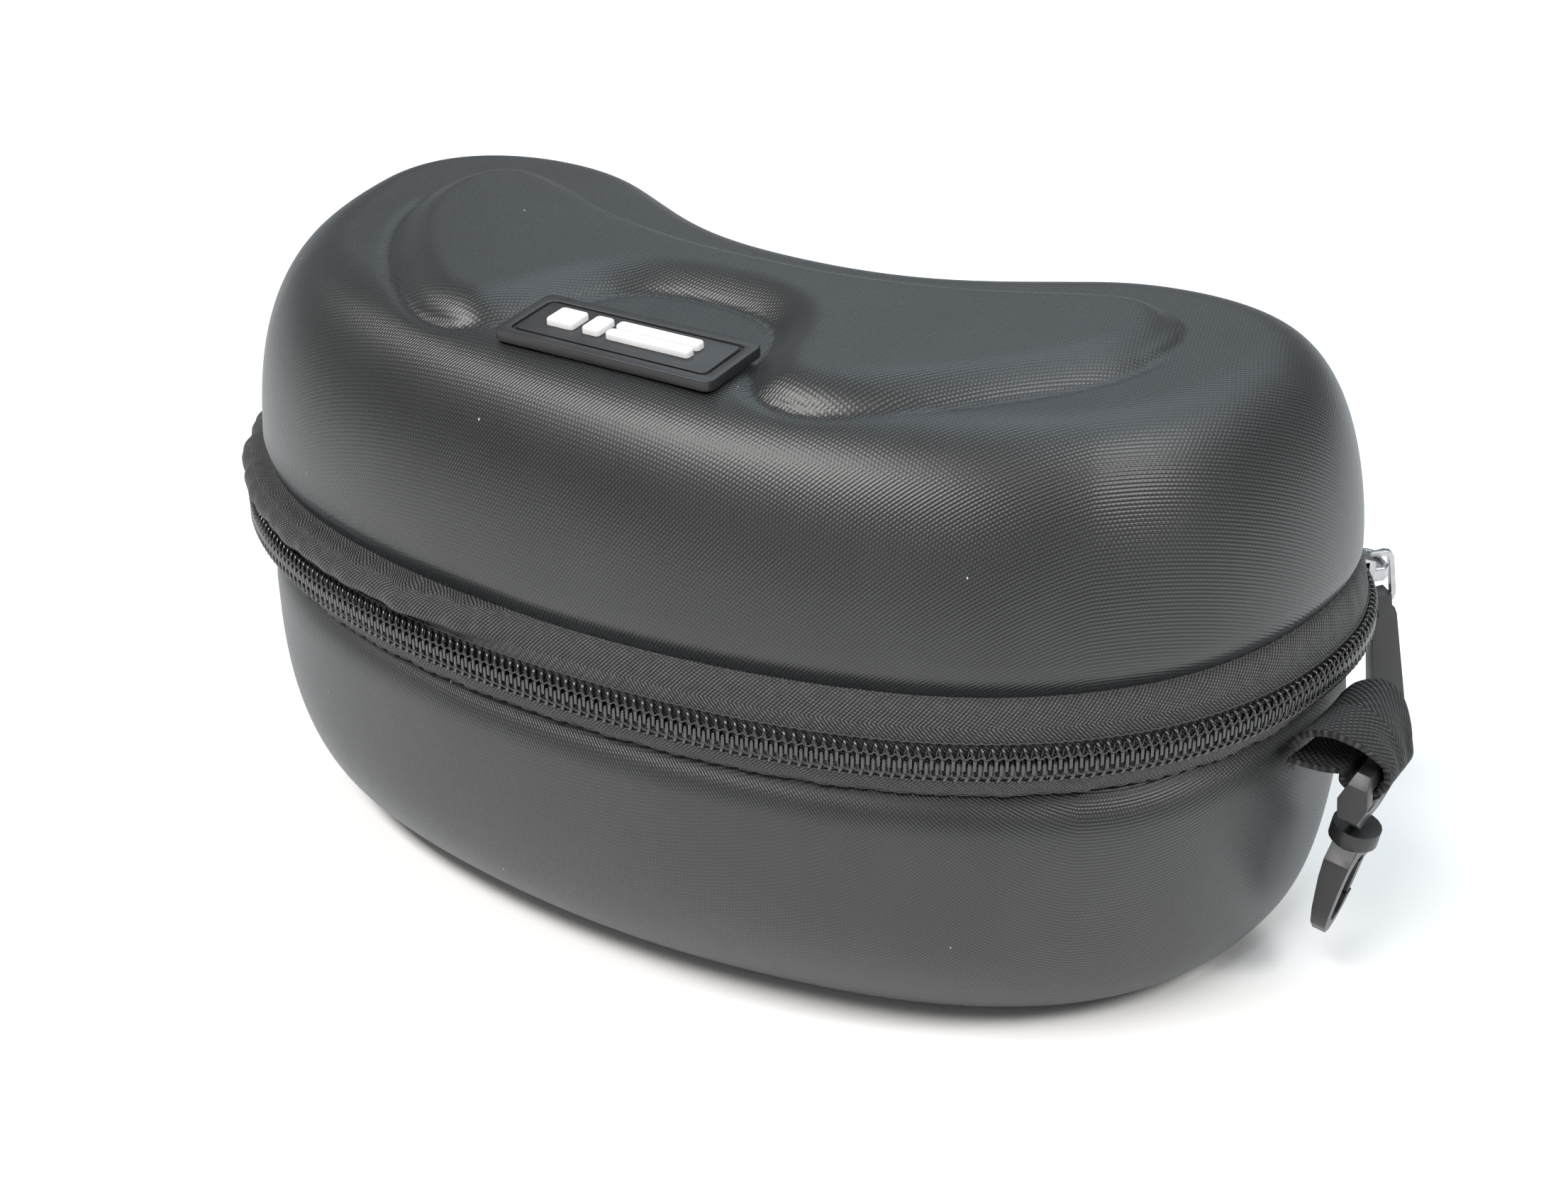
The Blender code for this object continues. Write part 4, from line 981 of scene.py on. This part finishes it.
# ---------------------------------------------------------------- web loop
def web_section():
    """Side view of the loop in (x, z): out from the seam, round the eye's bar and back under it."""
    wall, reach = SIDE.x, 3.2 * MM
    path = [(wall + 1.2 * MM, BASE_RIM - 2.2 * MM), (wall + 3.4 * MM, BASE_RIM + 0.4 * MM),
            (wall + 7.0 * MM, BASE_RIM + 1.8 * MM), (wall + 10.4 * MM, BASE_RIM + 0.5 * MM),
            (wall + 13.0 * MM, BASE_RIM - 3.2 * MM)]
    for step in range(7):
        angle = math.radians(5 - 190 * step / 6)
        path.append((EYE_BAR.x + reach * math.cos(angle), EYE_BAR.z + reach * math.sin(angle)))
    path += [(wall + 5.2 * MM, BASE_RIM - 6.2 * MM), (wall + 1.2 * MM, BASE_RIM - 5.0 * MM)]
    return smooth_section(np.array(path) / MM, 5)


def make_web():
    section = web_section()
    across = np.linspace(-WEB_HALF, WEB_HALF, 41)
    runs = np.concatenate([[0.0], np.cumsum(np.linalg.norm(np.diff(section, axis=0), axis=1))])
    x = np.broadcast_to(section[:, 0:1], (len(section), len(across))).copy()
    z = np.broadcast_to(section[:, 1:2], x.shape).copy()
    y = np.broadcast_to(across[None], x.shape).copy()
    out = np.clip((x - SIDE.x) / (EYE_BAR.x - SIDE.x), 0, 1)
    along_x = np.array((1.0, 0.0))
    walls = np.array([first_hit(np.array((0.0, WEB_Y + value)), along_x)[0] for value in across])
    x += (walls[None] - SIDE.x) * (1 - out)
    drop = np.clip((BASE_RIM + 2.0 * MM - z) / (BASE_RIM - EYE_BAR.z), 0, 1) * out
    bunch = np.sin(across / WEB_HALF * math.pi * 2.5)[None] * drop * 0.35 * MM
    y = WEB_Y + y * (1 - WEB_GATHER * drop) + WEB_SLANT * drop
    grid = np.stack([x + bunch * 0.4, y, z + bunch], axis=2)
    cloth = np.stack(np.broadcast_arrays(across[None], runs[:, None]), axis=2)[..., ::-1]
    mesh = grid_mesh("webbing_loop", grid, cloth)
    piece = add_piece("webbing_loop", mesh, WEBBING, "base", ("web_loop",))
    thicken(piece, WEB_THICK, 0.0)
    make_fray(grid[-1])


def make_fray(edge):
    """Loose yarn ends at the cut end of the webbing."""
    paths = []
    for place in edge:
        for _ in range(3):
            lean = RNG.normal(0, 0.35, 3)
            way = np.array((0.35, -0.1, -0.9)) + lean
            steps = np.linspace(0, RNG.uniform(0.8, 2.0) * MM, 5)[:, None]
            curl = np.linspace(0, 1, 5)[:, None] ** 2 * RNG.normal(0, 0.4, 3) * MM
            paths.append(place + RNG.normal(0, 0.2, 3) * MM + way * steps + curl)
    mesh = tubes_mesh("webbing_fray", paths, FRAY_YARN, 5)
    add_piece("webbing_fray", mesh, THREAD, "base")


# ---------------------------------------------------------------- stage
def make_floor():
    finish = Finish("pale_floor", roughness=0.75, specular=0.2)
    cloudy = finish.grain("object", 0.5)
    finish.color(finish.mix(cloudy, (0.93, 0.93, 0.93), (0.95, 0.95, 0.95)))
    bm = bmesh.new()
    bmesh.ops.create_grid(bm, x_segments=8, y_segments=8, size=3.0)
    mesh = bpy.data.meshes.new("floor")
    bm.to_mesh(mesh)
    bm.free()
    floor = bpy.data.objects.new("floor", mesh)
    bpy.context.scene.collection.objects.link(floor)
    mesh.materials.append(finish.material)


def add_area(name, place, aim, size, power, color):
    light = bpy.data.lights.new(name, 'AREA')
    light.shape = 'RECTANGLE'
    light.size, light.size_y = size
    light.energy = power
    light.color = color
    lamp = bpy.data.objects.new(name, light)
    bpy.context.scene.collection.objects.link(lamp)
    lamp.location = place
    lamp.rotation_euler = (Vector(aim) - Vector(place)).to_track_quat('-Z', 'Y').to_euler()


def make_lights():
    world = bpy.data.worlds.new("studio")
    bpy.context.scene.world = world
    world.use_nodes = True
    background = world.node_tree.nodes["Background"]
    background.inputs["Color"].default_value = (1.0, 1.0, 1.0, 1.0)
    background.inputs["Strength"].default_value = 0.26
    middle = (0.0, 0.0, 0.05)
    add_area("top_softbox", (0.05, 0.60, 1.00), middle, (1.4, 0.8), 7.0, (0.76, 0.91, 1.0))
    add_area("strip_softbox", (-0.22, -0.62, 0.98), middle, (1.2, 0.22), 17.0, (1.0, 0.98, 0.96))
    add_area("front_softbox", (-0.35, -1.20, 0.75), middle, (1.0, 0.8), 1.0, (1.0, 0.97, 0.93))
    add_area("side_softbox", (0.95, -0.02, 0.92), middle, (0.4, 0.4), 8.0, (1.0, 0.99, 0.97))


def make_camera():
    camera = bpy.data.cameras.new("camera")
    camera.sensor_width = 36.0
    camera.lens = 59.6
    camera.clip_start, camera.clip_end = 0.01, 20.0
    eye = bpy.data.objects.new("camera", camera)
    bpy.context.scene.collection.objects.link(eye)
    eye.location = Vector((0.2154, -0.3315, 0.1965)) + CASE
    eye.rotation_euler = Vector((-0.4705, 0.7515, -0.4625)).to_track_quat('-Z', 'Y').to_euler()
    bpy.context.scene.camera = eye
    bpy.context.scene.view_settings.view_transform = 'Standard'


make_camera()
make_lights()
make_floor()
make_covers()
make_linings()
make_tapes()
make_bindings()
make_chain()
make_seams()
make_small_pieces()
make_badge_bars()
make_web()

bpy.context.view_layer.update()
